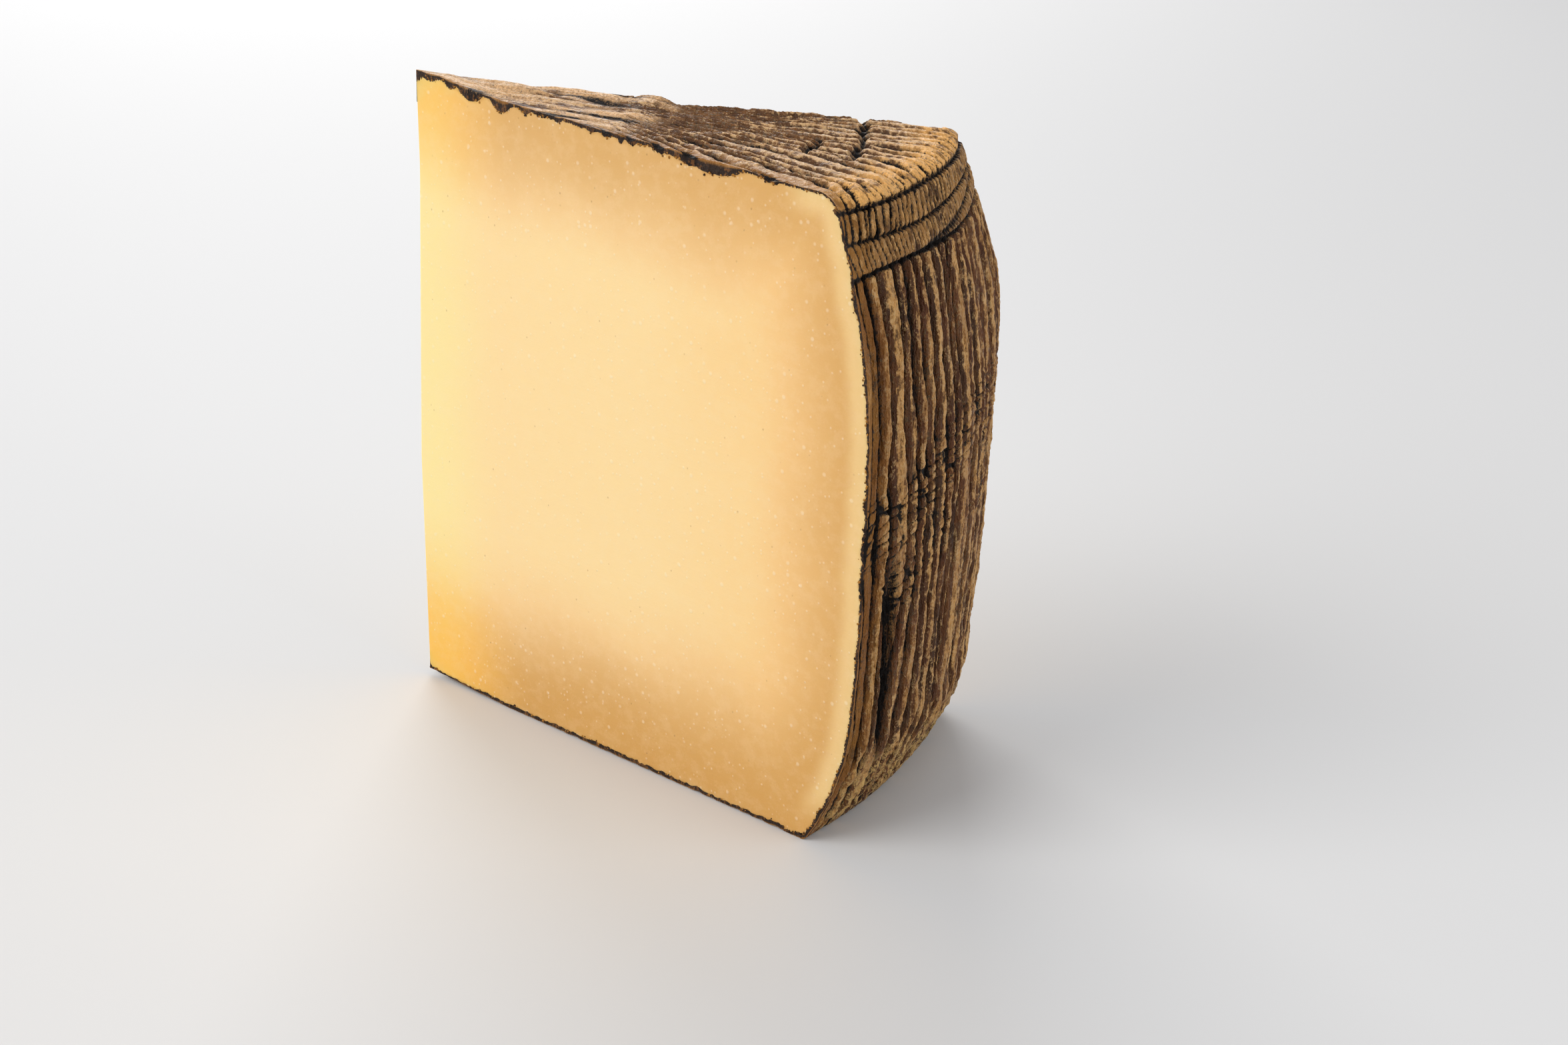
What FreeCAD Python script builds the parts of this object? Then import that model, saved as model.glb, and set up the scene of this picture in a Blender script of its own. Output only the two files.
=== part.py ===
"""Wedge cut from a tall, drum-shaped wheel of basket-moulded pecorino.

The wheel is turned about its own axis. The two upright knife cuts that free the wedge meet at
the tip, a little beyond that axis: the front cut lies in the XZ plane and holds the axis, and
the rear cut turns away from it towards +Y. The upright reeds of the basket that the wheel was
drained in imprint its wall, with rings of binding and short cells near the rim, and the spokes
of the basket's floor imprint its top, which falls away from the tip. Millimetres, tip at zero.
"""
import FreeCAD, Part
import math
import os
import Sketcher
from FreeCAD import Placement, Rotation, Vector

SIZES = {
    # the whole wheel, and where the knife cuts meet beyond its axis
    "wheel_radius": 122.5,
    "axis_offset": 20.0,
    "crown_height": 151.0,
    "crown_fall": 3.25,
    "wedge_angle": 35.0,
    # the wall's meridian, from the foot up to the shoulder
    "foot_inset": 8.0,
    "foot_height": 36.0,
    "belly_height": 88.0,
    "belly_round_low": 600.0,
    "belly_round_high": 150.0,
    "shoulder_round": 7.0,
    # the foot is squeezed in under the front cut, to a round about the tip
    "squeeze_inset": 15.5,
    "squeeze_flare": 12.0,
    # how the knife wandered in the rear cut, and the tip's lifted underside
    "sway_start": 58.0,
    "sway_end": 130.0,
    "sway_depth": 2.2,
    "tip_lift": 1.4,
    "tip_lift_length": 30.0,
    # rings of binding under the rim, and the cells between them
    "ring_depth": 1.2,
    "rim_ring_drop": 11.5,
    "upper_ring_drop": 17.0,
    "lower_ring_drop": 23.0,
    "cell_pitch": 3.6,
    "cell_gap": 0.75,
    "cell_margin": 0.5,
    "lower_cell_start": 1.3,
    "upper_cell_start": 2.9,
    # gaps left by the basket's upright reeds
    "reed_pitch": 4.7,
    "reed_gap": 1.2,
    "reed_foot": 8.0,
    "reed_stagger": 0.18,
    "reed_lean": 0.6,
    # the one gap that a missing reed left wide, near the front cut
    "split_turn": 10.2,
    "split_gap": 1.9,
    "split_foot": 26.0,
    "split_top": 62.0,
    # grooves left by the spokes of the basket's floor, and cords that crossed them
    "spoke_count": 12,
    "spoke_gap": 1.2,
    "hub_distance": 20.4,
    "hub_turn": 42.8,
    "spoke_first": -6.5,
    "spoke_fan": 42.0,
    "spoke_start": 49.0,
    "rim_width": 17.5,
    "cord_gap": 0.9,
    "outer_cord_inset": 26.0,
    "outer_cord_start": 20.0,
    "outer_cord_end": 35.0,
    "inner_cord_inset": 35.5,
    "inner_cord_start": 14.0,
    "inner_cord_end": 25.0,
}

doc = FreeCAD.newDocument("CheeseWedge")


def make_sheet():
    """Put every driving size into a spreadsheet, one row each, with its name as the alias."""
    table = doc.addObject("Spreadsheet::Sheet", "Sizes")
    for row, (name, value) in enumerate(SIZES.items(), start=1):
        table.set(f"A{row}", name)
        table.set(f"B{row}", str(value))
        table.setAlias(f"B{row}", name)
    doc.recompute()
    return table


sheet = make_sheet()


def size(name):
    return float(sheet.get(name))


def origin_feature(body, role):
    return next(item for item in body.Origin.OriginFeatures if item.Role == role)


def new_sketch(body, name, plane):
    sketch = body.newObject("Sketcher::SketchObject", name)
    sketch.AttachmentSupport = [(origin_feature(body, plane), "")]
    sketch.MapMode = "FlatFace"
    return sketch


def on_wheel_axis(sketch):
    """Slide a sketch in the XZ plane so that its own upright axis is the wheel's."""
    sketch.AttachmentOffset = Placement(Vector(size("axis_offset"), 0, 0), Rotation())
    sketch.setExpression("AttachmentOffset.Base.x", "Sizes.axis_offset")


def constrain(sketch, name, formula, *terms):
    """Add a named dimension and tie it to the sheet."""
    sketch.addConstraint(Sketcher.Constraint(*terms))
    sketch.renameConstraint(sketch.ConstraintCount - 1, name)
    sketch.setExpression(f"Constraints.{name}", formula)


# ---------------------------------------------------------------- the wheel's meridian

def crown_at(x, y):
    """Height of the top over a point: it falls along the line midway between the cuts."""
    middle = math.radians(size("wedge_angle") / 2)
    away = x * math.cos(middle) + y * math.sin(middle)
    return size("crown_height") - away * math.tan(math.radians(size("crown_fall")))


def foot_arc(wheel, inset):
    """Start, centre and end of the arc from the base up to the lower belly, tangent to it."""
    belly, low_round, foot = size("belly_height"), size("belly_round_low"), size("foot_height")
    low_centre = Vector(wheel - low_round, belly)
    top = Vector(low_centre.x + math.sqrt(low_round ** 2 - (belly - foot) ** 2), foot)
    base = Vector(wheel - inset, 0)
    inward = (low_centre - top) / low_round
    chord = top - base
    return base, top + inward * (-chord.dot(chord) / (2 * inward.dot(chord))), top


def meridian_points():
    """Corners and arc centres of the wall's meridian, each arc tangent to the next."""
    wheel = size("wheel_radius")
    belly = size("belly_height")
    high_round = size("belly_round_high")
    top = size("crown_height") + size("shoulder_round")

    base, foot_centre, foot_top = foot_arc(wheel, size("foot_inset"))
    high_centre = Vector(wheel - high_round, belly)
    return {
        "base": base,
        "foot_centre": foot_centre,
        "foot_top": foot_top,
        "low_centre": Vector(wheel - size("belly_round_low"), belly),
        "belly": Vector(wheel, belly),
        "high_centre": high_centre,
        "wall_top": Vector(high_centre.x + math.sqrt(high_round ** 2 - (top - belly) ** 2), top),
        "axis_top": Vector(0, top),
    }


def arc_between(centre, start, end):
    """A counter-clockwise arc in the sketch plane."""
    first = start - centre
    last = end - centre
    circle = Part.Circle(centre, Vector(0, 0, 1), first.Length)
    return Part.ArcOfCircle(circle, math.atan2(first.y, first.x), math.atan2(last.y, last.x))


def draw_meridian(sketch):
    """Base line, foot, lower belly, upper belly, a level top above the crown and the axis."""
    at = meridian_points()
    centre = Vector(0, 0)
    base, foot, low, high, lid, axis = sketch.addGeometry([
        Part.LineSegment(centre, at["base"]),
        arc_between(at["foot_centre"], at["base"], at["foot_top"]),
        arc_between(at["low_centre"], at["foot_top"], at["belly"]),
        arc_between(at["high_centre"], at["belly"], at["wall_top"]),
        Part.LineSegment(at["wall_top"], at["axis_top"]),
        Part.LineSegment(at["axis_top"], centre),
    ], False)
    sketch.addConstraint([
        Sketcher.Constraint("Coincident", base, 1, -1, 1),
        Sketcher.Constraint("Horizontal", base),
        Sketcher.Constraint("Coincident", base, 2, foot, 1),
        Sketcher.Constraint("Tangent", foot, 2, low, 1),
        Sketcher.Constraint("Tangent", low, 2, high, 1),
        Sketcher.Constraint("Coincident", high, 2, lid, 1),
        Sketcher.Constraint("Horizontal", lid),
        Sketcher.Constraint("Coincident", lid, 2, axis, 1),
        Sketcher.Constraint("Coincident", axis, 2, base, 1),
        Sketcher.Constraint("Vertical", axis),
        Sketcher.Constraint("Horizontal", low, 2, low, 3),
    ])
    constrain(sketch, "BaseRadius", "Sizes.wheel_radius - Sizes.foot_inset", "DistanceX",
              base, 1, base, 2, at["base"].x)
    constrain(sketch, "FootHeight", "Sizes.foot_height", "DistanceY", -1, 1, foot, 2,
              at["foot_top"].y)
    constrain(sketch, "WheelRadius", "Sizes.wheel_radius", "DistanceX", -1, 1, low, 2,
              at["belly"].x)
    constrain(sketch, "BellyHeight", "Sizes.belly_height", "DistanceY", -1, 1, low, 2,
              at["belly"].y)
    constrain(sketch, "BellyRoundLow", "Sizes.belly_round_low", "Radius", low,
              size("belly_round_low"))
    constrain(sketch, "BellyRoundHigh", "Sizes.belly_round_high", "Radius", high,
              size("belly_round_high"))
    constrain(sketch, "WallTop", "Sizes.crown_height + Sizes.shoulder_round", "DistanceY",
              -1, 1, axis, 1, at["axis_top"].y)


def wall_radius(height):
    """Radius of the wheel's wall at a height, read off the meridian's arcs."""
    at = meridian_points()
    if height < at["foot_top"].y:
        centre, edge = at["foot_centre"], at["base"]
    elif height < at["belly"].y:
        centre, edge = at["low_centre"], at["belly"]
    else:
        centre, edge = at["high_centre"], at["belly"]
    arc_round = (edge - centre).Length
    return centre.x + math.sqrt(arc_round ** 2 - (height - centre.y) ** 2)


def rear_turn():
    """How far round the wheel's own axis the rear cut meets the wall, in degrees."""
    angle = size("wedge_angle")
    aside = size("axis_offset") * math.sin(math.radians(angle))
    return angle + math.degrees(math.asin(aside / size("wheel_radius")))


# ---------------------------------------------------------------- the plain wedge

def make_wedge_body():
    """Turn half the wheel, cut it down to the wedge, slope its top and round its shoulder."""
    body = doc.addObject("PartDesign::Body", "PlainWedge")
    meridian = new_sketch(body, "Meridian", "XZ_Plane")
    on_wheel_axis(meridian)
    draw_meridian(meridian)
    half = body.newObject("PartDesign::Revolution", "HalfWheel")
    half.Profile = meridian
    half.ReferenceAxis = (meridian, ["V_Axis"])
    half.Angle = 180
    doc.recompute()
    if half.Shape.BoundBox.YMax < size("wheel_radius") / 10:
        half.Reversed = True
    cut_rear(body)
    slope_crown(body)
    round_shoulder(body)
    cut_rear_sway(body)
    cut_tip_lift(body)
    cut_rings(body)
    return body


def cut_rear(body):
    """The rear knife cut, and all of the wheel that lies beyond it."""
    sketch = new_sketch(body, "RearCut", "XY_Plane")
    clear = size("wheel_radius") * 2
    angle = math.radians(size("wedge_angle"))
    draw_loop(sketch, [
        Vector(0, 0),
        Vector(clear * math.cos(angle), clear * math.sin(angle)),
        Vector(clear * math.cos(angle), clear),
        Vector(-clear, clear),
        Vector(-clear, -size("shoulder_round")),
        Vector(0, -size("shoulder_round")),
    ])
    cut_through(body, sketch, "RearKnifeCut")


def slope_crown(body):
    """The top is nearly flat, and falls from the tip out to the rim."""
    sketch = new_sketch(body, "CrownSlope", "XZ_Plane")
    middle = size("wedge_angle") / 2
    sketch.AttachmentOffset = Placement(Vector(), Rotation(Vector(0, 1, 0), middle))
    sketch.setExpression("AttachmentOffset.Rotation.Angle", "Sizes.wedge_angle / 2")
    reach = size("wheel_radius") + size("axis_offset") * 2
    fall = math.tan(math.radians(size("crown_fall")))
    crown = size("crown_height")
    lid = crown + size("shoulder_round") * 3
    draw_loop(sketch, [
        Vector(-size("axis_offset"), crown + size("axis_offset") * fall),
        Vector(reach, crown - reach * fall),
        Vector(reach, lid),
        Vector(-size("axis_offset"), lid),
    ])
    cut_through(body, sketch, "SlopedCrown")


def round_shoulder(body):
    """Round the rim between the sloped top and the wall."""
    doc.recompute()
    crown = body.Tip
    rims = []
    for number, edge in enumerate(crown.Shape.Edges, start=1):
        point = edge.valueAt((edge.FirstParameter + edge.LastParameter) / 2)
        level = abs(point.z - crown_at(point.x, point.y)) < size("ring_depth")
        round_axis = Vector(point.x - size("axis_offset"), point.y, 0).Length
        on_wall = abs(round_axis - wall_radius(point.z)) < size("ring_depth")
        if level and on_wall:
            rims.append(f"Edge{number}")
    shoulder = body.newObject("PartDesign::Fillet", "Shoulder")
    shoulder.Base = (crown, rims)
    shoulder.setExpression("Radius", "Sizes.shoulder_round")


def cut_rear_sway(body):
    """The knife left the upright part-way up, so the rear cut leans in towards the top."""
    sketch = new_sketch(body, "RearSway", "YZ_Plane")
    sketch.AttachmentOffset = Placement(Vector(), Rotation(Vector(0, 1, 0), size("wedge_angle")))
    sketch.setExpression("AttachmentOffset.Rotation.Angle", "Sizes.wedge_angle")
    clear = size("sway_depth") * 3
    top = max(size("crown_height"), size("sway_end")) + clear
    corners = [
        Vector(0, size("sway_start")),
        Vector(clear, size("sway_start")),
        Vector(clear, top),
        Vector(-size("sway_depth"), top),
        Vector(-size("sway_depth"), size("sway_end")),
    ]
    draw_loop(sketch, corners)
    cut_through(body, sketch, "RearCutSway")


def cut_tip_lift(body):
    """The underside rises a little towards the tip."""
    sketch = new_sketch(body, "TipLift", "XZ_Plane")
    lift = size("tip_lift")
    corners = [
        Vector(-lift, -lift),
        Vector(size("tip_lift_length"), -lift),
        Vector(size("tip_lift_length"), 0),
        Vector(-lift, lift),
    ]
    draw_loop(sketch, corners)
    cut_through(body, sketch, "LiftedTip")


def draw_loop(sketch, corners):
    """A closed polygon whose corners are pinned where they were worked out."""
    count = len(corners)
    for index, corner in enumerate(corners):
        sketch.addGeometry(Part.LineSegment(corner, corners[(index + 1) % count]), False)
    for index in range(count):
        sketch.addConstraint(
            Sketcher.Constraint("Coincident", index, 2, (index + 1) % count, 1))
    for index, corner in enumerate(corners):
        sketch.addConstraint(Sketcher.Constraint("DistanceX", -1, 1, index, 1, corner.x))
        sketch.addConstraint(Sketcher.Constraint("DistanceY", -1, 1, index, 1, corner.y))


def cut_through(body, sketch, name):
    """Pocket a sketch both ways through the whole wedge."""
    pocket = body.newObject("PartDesign::Pocket", name)
    pocket.Profile = sketch
    pocket.Type = "ThroughAll"
    pocket.Midplane = True
    return pocket


def ring_height(name):
    return size("crown_height") - size(f"{name}_ring_drop")


def cut_rings(body):
    """Level rings pressed into the shoulder by the basket's binding."""
    for name in ("rim", "upper", "lower"):
        sketch = new_sketch(body, f"{name.title()}RingProfile", "XZ_Plane")
        on_wheel_axis(sketch)
        centre = Vector(wall_radius(ring_height(name)), ring_height(name))
        circle = sketch.addGeometry(
            Part.Circle(centre, Vector(0, 0, 1), size("ring_depth")), False)
        constrain(sketch, "Height", f"Sizes.crown_height - Sizes.{name}_ring_drop",
                  "DistanceY", -1, 1, circle, 3, centre.y)
        sketch.addConstraint(Sketcher.Constraint("DistanceX", -1, 1, circle, 3, centre.x))
        constrain(sketch, "Depth", "Sizes.ring_depth", "Radius", circle, size("ring_depth"))
        groove = body.newObject("PartDesign::Groove", f"{name.title()}Ring")
        groove.Profile = sketch
        groove.ReferenceAxis = (sketch, ["V_Axis"])
        groove.Angle = 360


def make_squeezed_foot():
    """A bowl about the tip that holds the wedge and trims only its foot."""
    wheel = size("wheel_radius") + size("axis_offset")
    base, centre, top = [Vector(point.x, 0, point.y) for point in
                         foot_arc(wheel, size("squeeze_inset"))]
    foot_round = (base - centre).Length
    middle = centre + ((base + top) / 2 - centre).normalize() * foot_round
    flare = wheel + size("squeeze_flare")
    lid = size("crown_height") + size("shoulder_round")
    corners = [top, Vector(flare, 0, top.z * 2), Vector(flare, 0, lid), Vector(0, 0, lid),
               Vector(), base]
    edges = [Part.Arc(base, middle, top).toShape()]
    edges += [Part.makeLine(start, end) for start, end in zip(corners, corners[1:])]
    face = Part.Face(Part.Wire(edges))
    bowl = face.revolve(Vector(), Vector(0, 0, 1), size("wedge_angle") * 2)
    bowl.rotate(Vector(), Vector(0, 0, 1), -size("wedge_angle") / 2)
    return bowl


# ---------------------------------------------------------------- the basket's imprint

def reed_path(low, high):
    """The wall's meridian between two heights, as a wire in the XZ plane."""
    at = meridian_points()
    joints = [at["foot_top"].y, at["belly"].y]
    stops = [low] + [joint for joint in joints if low < joint < high] + [high]
    edges = []
    for start, end in zip(stops, stops[1:]):
        middle = (start + end) / 2
        edges.append(Part.Arc(*[Vector(wall_radius(level), 0, level)
                                for level in (start, middle, end)]).toShape())
    return Part.Wire(edges)


def pipe_along(path, radius):
    """A round pipe along a wire."""
    start = path.Edges[0]
    point = start.valueAt(start.FirstParameter)
    heading = start.tangentAt(start.FirstParameter)
    mouth = Part.Wire(Part.Circle(point, heading, radius).toShape())
    return path.makePipeShell([mouth], True, False)


def stagger(number):
    """A repeatable uneven offset between -1 and 1 for a reed or spoke."""
    return math.sin(2.4 * number * number + 0.7 * number)


def to_wheel(shape, turn):
    """Turn a shape about its own upright axis, then move that axis onto the wheel's."""
    shape.rotate(Vector(), Vector(0, 0, 1), turn)
    shape.translate(Vector(size("axis_offset"), 0, 0))
    return shape


def make_reed_gaps():
    """Narrow upright gaps between the reeds, unevenly spaced, each leaning a little."""
    pitch_angle = math.degrees(size("reed_pitch") / size("wheel_radius"))
    count = int(rear_turn() / pitch_angle)
    low, high = size("reed_foot"), ring_height("lower")
    path = reed_path(low, high)
    gaps = []
    for number in range(count):
        turn = pitch_angle * (number + 0.6 + size("reed_stagger") * stagger(number))
        gap = pipe_along(path, size("reed_gap") * (1 + 0.3 * stagger(number + 9)))
        lean = size("reed_lean") * stagger(number + 5)
        gap.rotate(Vector(0, 0, (low + high) / 2), Vector(1, 0, 0), lean)
        gaps.append(to_wheel(gap, turn))
    return gaps


def make_split():
    """The wide black gap that a missing reed left."""
    path = reed_path(size("split_foot"), size("split_top"))
    turn = math.degrees(size("split_turn") / size("wheel_radius"))
    return [to_wheel(pipe_along(path, size("split_gap")), turn)]


def make_cells():
    """Short upright gaps in the two bands between the rings."""
    gaps = []
    clear = size("ring_depth") + size("cell_margin")
    for low_ring, high_ring in (("lower", "upper"), ("upper", "rim")):
        low, high = ring_height(low_ring) + clear, ring_height(high_ring) - clear
        foot = Vector(wall_radius(low), 0, low)
        head = Vector(wall_radius(high), 0, high)
        pitch_angle = math.degrees(size("cell_pitch") / foot.x)
        first = math.degrees(size(f"{low_ring}_cell_start") / foot.x)
        for number in range(int(rear_turn() / pitch_angle)):
            turn = first + pitch_angle * (number + size("reed_stagger") * stagger(number))
            radius = size("cell_gap") * (1 + 0.2 * stagger(number + 4))
            cell = Part.makeCylinder(radius, (head - foot).Length, foot, head - foot)
            gaps.append(to_wheel(cell, turn))
    return gaps


def make_spoke_gaps():
    """Shallow grooves across the top that fan out from a hub near the wheel's axis."""
    hub = turned(size("hub_distance"), size("hub_turn"))
    count = int(size("spoke_count"))
    gaps = []
    for number in range(count):
        share = (number + 0.3 * stagger(number)) / (count - 1)
        along = turned(1, size("spoke_first") + size("spoke_fan") * share)
        inner = on_ray(hub, along, size("spoke_start") + 6 * stagger(number + 3))
        outer = on_ray(hub, along,
                       size("wheel_radius") - size("rim_width") + 2 * stagger(number + 7))
        radius = size("spoke_gap") * (1 + 0.25 * stagger(number + 2))
        inner.z = crown_at(inner.x + size("axis_offset"), inner.y) + radius
        outer.z = crown_at(outer.x + size("axis_offset"), outer.y) + radius * 0.3
        gap = Part.makeCylinder(radius, (outer - inner).Length, inner, outer - inner)
        gaps.append(to_wheel(gap, 0))
    return gaps


def on_ray(start, along, distance):
    """The point on a ray that lies a given distance from the wheel's axis."""
    across = start.dot(along)
    rest = start.dot(start) - distance ** 2
    return start + along * (math.sqrt(across ** 2 - rest) - across)


def make_cross_cords():
    """Two short grooves that ran across the spokes, round the wheel's axis."""
    centre = Vector(size("axis_offset"), 0, 0)
    cords = []
    for name in ("outer", "inner"):
        reach = size("wheel_radius") - size(f"{name}_cord_inset")
        start, end = size(f"{name}_cord_start"), size(f"{name}_cord_end")
        places = [centre + turned(reach, turn) for turn in (start, (start + end) / 2, end)]
        arc = Part.Arc(*[Vector(place.x, place.y, crown_at(place.x, place.y))
                         for place in places])
        cords.append(pipe_along(Part.Wire(arc.toShape()), size("cord_gap")))
    return cords


def turned(length, turn):
    """A level vector of a length and a heading in degrees."""
    return Vector(math.cos(math.radians(turn)), math.sin(math.radians(turn))) * length


# ---------------------------------------------------------------- assembly and export

def make_tool(name, shapes):
    """Hold the cutters of one kind in one object."""
    tool = doc.addObject("Part::Feature", name)
    tool.Shape = shapes[0].multiFuse(shapes[1:])
    return tool


def cut(name, base, tool):
    result = doc.addObject("Part::Cut", name)
    result.Base = base
    result.Tool = tool
    return result


def check_document():
    """Stop if any object failed to build."""
    for item in doc.Objects:
        if "Invalid" in item.State or "Error" in item.State:
            raise RuntimeError(f"{item.Name} failed: {item.State}")


def main():
    body = make_wedge_body()
    foot = doc.addObject("Part::Feature", "SqueezedFoot")
    foot.Shape = make_squeezed_foot()
    standing = doc.addObject("Part::Common", "StandingWedge")
    standing.Base = body
    standing.Tool = foot
    wedge = standing
    for name, gaps in (("Reed", make_reed_gaps() + make_split()), ("Cell", make_cells()),
                       ("Spoke", make_spoke_gaps() + make_cross_cords())):
        wedge = cut(f"{name}Wedge", wedge, make_tool(f"{name}Gaps", gaps))
    wedge.Label = "cheese_wedge"
    doc.recompute()
    box = wedge.Shape.optimalBoundingBox(False)
    wedge.Placement = Placement(Vector(-box.Center.x, -box.Center.y, -box.ZMin), Rotation())
    doc.recompute()
    check_document()
    shape = wedge.Shape
    if shape.isNull() or not shape.isValid() or len(shape.Solids) != 1:
        raise RuntimeError("the wedge isn't one sound solid")
    print("volume cm3", round(shape.Volume / 1000, 1), "box", shape.optimalBoundingBox(False))
    os.makedirs("parts", exist_ok=True)
    shape.exportStep("parts/cheese_wedge.step")


main()
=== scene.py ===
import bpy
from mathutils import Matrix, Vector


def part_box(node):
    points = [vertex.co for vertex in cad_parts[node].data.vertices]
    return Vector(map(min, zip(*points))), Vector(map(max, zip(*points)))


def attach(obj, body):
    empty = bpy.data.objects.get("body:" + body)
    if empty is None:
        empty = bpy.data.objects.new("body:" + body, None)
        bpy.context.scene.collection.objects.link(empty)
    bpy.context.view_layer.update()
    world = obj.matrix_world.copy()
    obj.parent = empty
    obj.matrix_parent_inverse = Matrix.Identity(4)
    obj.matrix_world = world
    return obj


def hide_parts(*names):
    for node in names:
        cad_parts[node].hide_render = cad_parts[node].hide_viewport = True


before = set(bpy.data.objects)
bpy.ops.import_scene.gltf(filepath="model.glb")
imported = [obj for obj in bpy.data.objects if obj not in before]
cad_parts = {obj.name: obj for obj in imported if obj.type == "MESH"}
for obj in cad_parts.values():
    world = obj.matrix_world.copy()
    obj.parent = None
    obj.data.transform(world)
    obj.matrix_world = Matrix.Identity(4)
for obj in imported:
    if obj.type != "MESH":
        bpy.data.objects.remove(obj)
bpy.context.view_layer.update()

import math

import bmesh
import bpy
import numpy as np
from mathutils import Matrix, Vector
from mathutils.geometry import delaunay_2d_cdt

# ---------------------------------------------------------------- the rind's wall
# The ribbed outer wall of a drum-shaped wheel of hard sheep's cheese that drained in a rush
# basket. It is a skin a few millimetres thick, from just under the foot up to the top ring, and
# its edges show at both knife cuts as a thin, dark, crumbling line.

# The wheel has a flat base, a slow belly and a tight shoulder. Two knife cuts meet at the tip, a
# little beyond the wheel's axis: the front cut holds the axis and faces -Y, and the rear one
# leans in towards its top. Places are in millimetres from the tip.
MM = 0.001
box_low, box_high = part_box("cheese_wedge")
TIP = np.array([box_low[0], box_low[1], 0.0]) / MM
REACH = (box_high[0] - box_low[0]) / MM
AXIS_OFFSET = 20.0
WEDGE_TURN = math.radians(35)
FOOT_INSET = 8.0
SQUEEZE_INSET = 15.5
FOOT_HEIGHT = 36.0
BELLY_HEIGHT = 88.0
LOW_ROUND = 600.0
HIGH_ROUND = 150.0
SHOULDER_ROUND = 7.0
CROWN_HEIGHT = 151.0
RIM_REACH = 132.0
CROWN_FALL = math.atan(math.tan(math.radians(3.25)) * math.cos(WEDGE_TURN / 2))
SWAY_HEIGHTS = (58.0, 130.0)
SWAY_DEPTH = 2.2
TIP_LIFT = 1.4
TIP_LIFT_LENGTH = 30.0
MERIDIAN_STEP = 0.1
CORNER_SOFTNESS = 2.0
FALL_FADE = 4
RAGGED_SPAN = (-200.0, 400.0)


def arc_points(centre, radius, start, end):
    """Points of an arc between two angles, close enough to read as a curve."""
    count = max(2, int(abs(end - start) * radius / MERIDIAN_STEP))
    angles = np.linspace(start, end, count)
    return np.stack([centre[0] + radius * np.cos(angles), centre[1] + radius * np.sin(angles)], 1)


def foot_arc(wheel, inset):
    """Centre, radius and two end angles of the arc from the base up to the lower belly."""
    low_centre = np.array([wheel - LOW_ROUND, BELLY_HEIGHT])
    end = math.asin((FOOT_HEIGHT - BELLY_HEIGHT) / LOW_ROUND)
    top = low_centre + LOW_ROUND * np.array([math.cos(end), math.sin(end)])
    chord = top - np.array([wheel - inset, 0.0])
    inward = (low_centre - top) / LOW_ROUND
    foot_round = -chord @ chord / (2 * inward @ chord)
    centre = top + inward * foot_round
    return centre, foot_round, math.atan2(-centre[1], wheel - inset - centre[0]), end


def front_meridian():
    """Radius, height and outward normal of the front cut's outline, by distance from the foot."""
    low_centre = np.array([REACH - LOW_ROUND, BELLY_HEIGHT])
    foot_centre, foot_round, foot_start, foot_angle = foot_arc(REACH, SQUEEZE_INSET)
    high_centre = np.array([REACH - HIGH_ROUND, BELLY_HEIGHT])
    slope = math.tan(CROWN_FALL)
    rise = CROWN_HEIGHT - SHOULDER_ROUND / math.cos(CROWN_FALL) - BELLY_HEIGHT
    reach = HIGH_ROUND - SHOULDER_ROUND
    linear = high_centre[0] + rise * slope
    square = 1 + slope ** 2
    rest = high_centre[0] ** 2 + rise ** 2 - reach ** 2
    across = (linear + math.sqrt(linear ** 2 - square * rest)) / square
    shoulder_centre = np.array([across, BELLY_HEIGHT + rise - across * slope])
    shoulder_start = math.atan2(*(shoulder_centre - high_centre)[::-1])
    crown_turn = math.pi / 2 - CROWN_FALL
    shoulder_top = arc_points(shoulder_centre, SHOULDER_ROUND, shoulder_start, crown_turn)[-1]
    line = np.vstack([
        [[0, 0], [REACH - SQUEEZE_INSET, 0]],
        arc_points(foot_centre, foot_round, foot_start, foot_angle)[1:],
        arc_points(low_centre, LOW_ROUND, foot_angle, 0)[1:],
        arc_points(high_centre, HIGH_ROUND, 0, shoulder_start)[1:],
        arc_points(shoulder_centre, SHOULDER_ROUND, shoulder_start, crown_turn)[1:],
        [shoulder_top, [0, CROWN_HEIGHT]],
    ])
    run = np.concatenate([[0], np.cumsum(np.hypot(*np.diff(line, axis=0).T))])
    steps = np.arange(0, run[-1], MERIDIAN_STEP)
    even = np.stack([np.interp(steps, run, line[:, 0]), np.interp(steps, run, line[:, 1])], 1)
    window = int(CORNER_SOFTNESS / MERIDIAN_STEP)
    kernel = np.ones(window) / window
    padded = np.pad(even, ((window, window), (0, 0)), mode="edge")
    soft = np.stack([np.convolve(padded[:, k], kernel, "same") for k in (0, 1)], 1)
    soft = soft[window:-window]
    heading = np.gradient(soft, axis=0)
    heading /= np.linalg.norm(heading, axis=1, keepdims=True)
    return steps + SQUEEZE_INSET - REACH, soft, np.stack([heading[:, 1], -heading[:, 0]], 1)


MERIDIAN_RISE, MERIDIAN, MERIDIAN_NORMAL = front_meridian()
WHEEL_FOOT = foot_arc(REACH - AXIS_OFFSET, FOOT_INSET)


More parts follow.
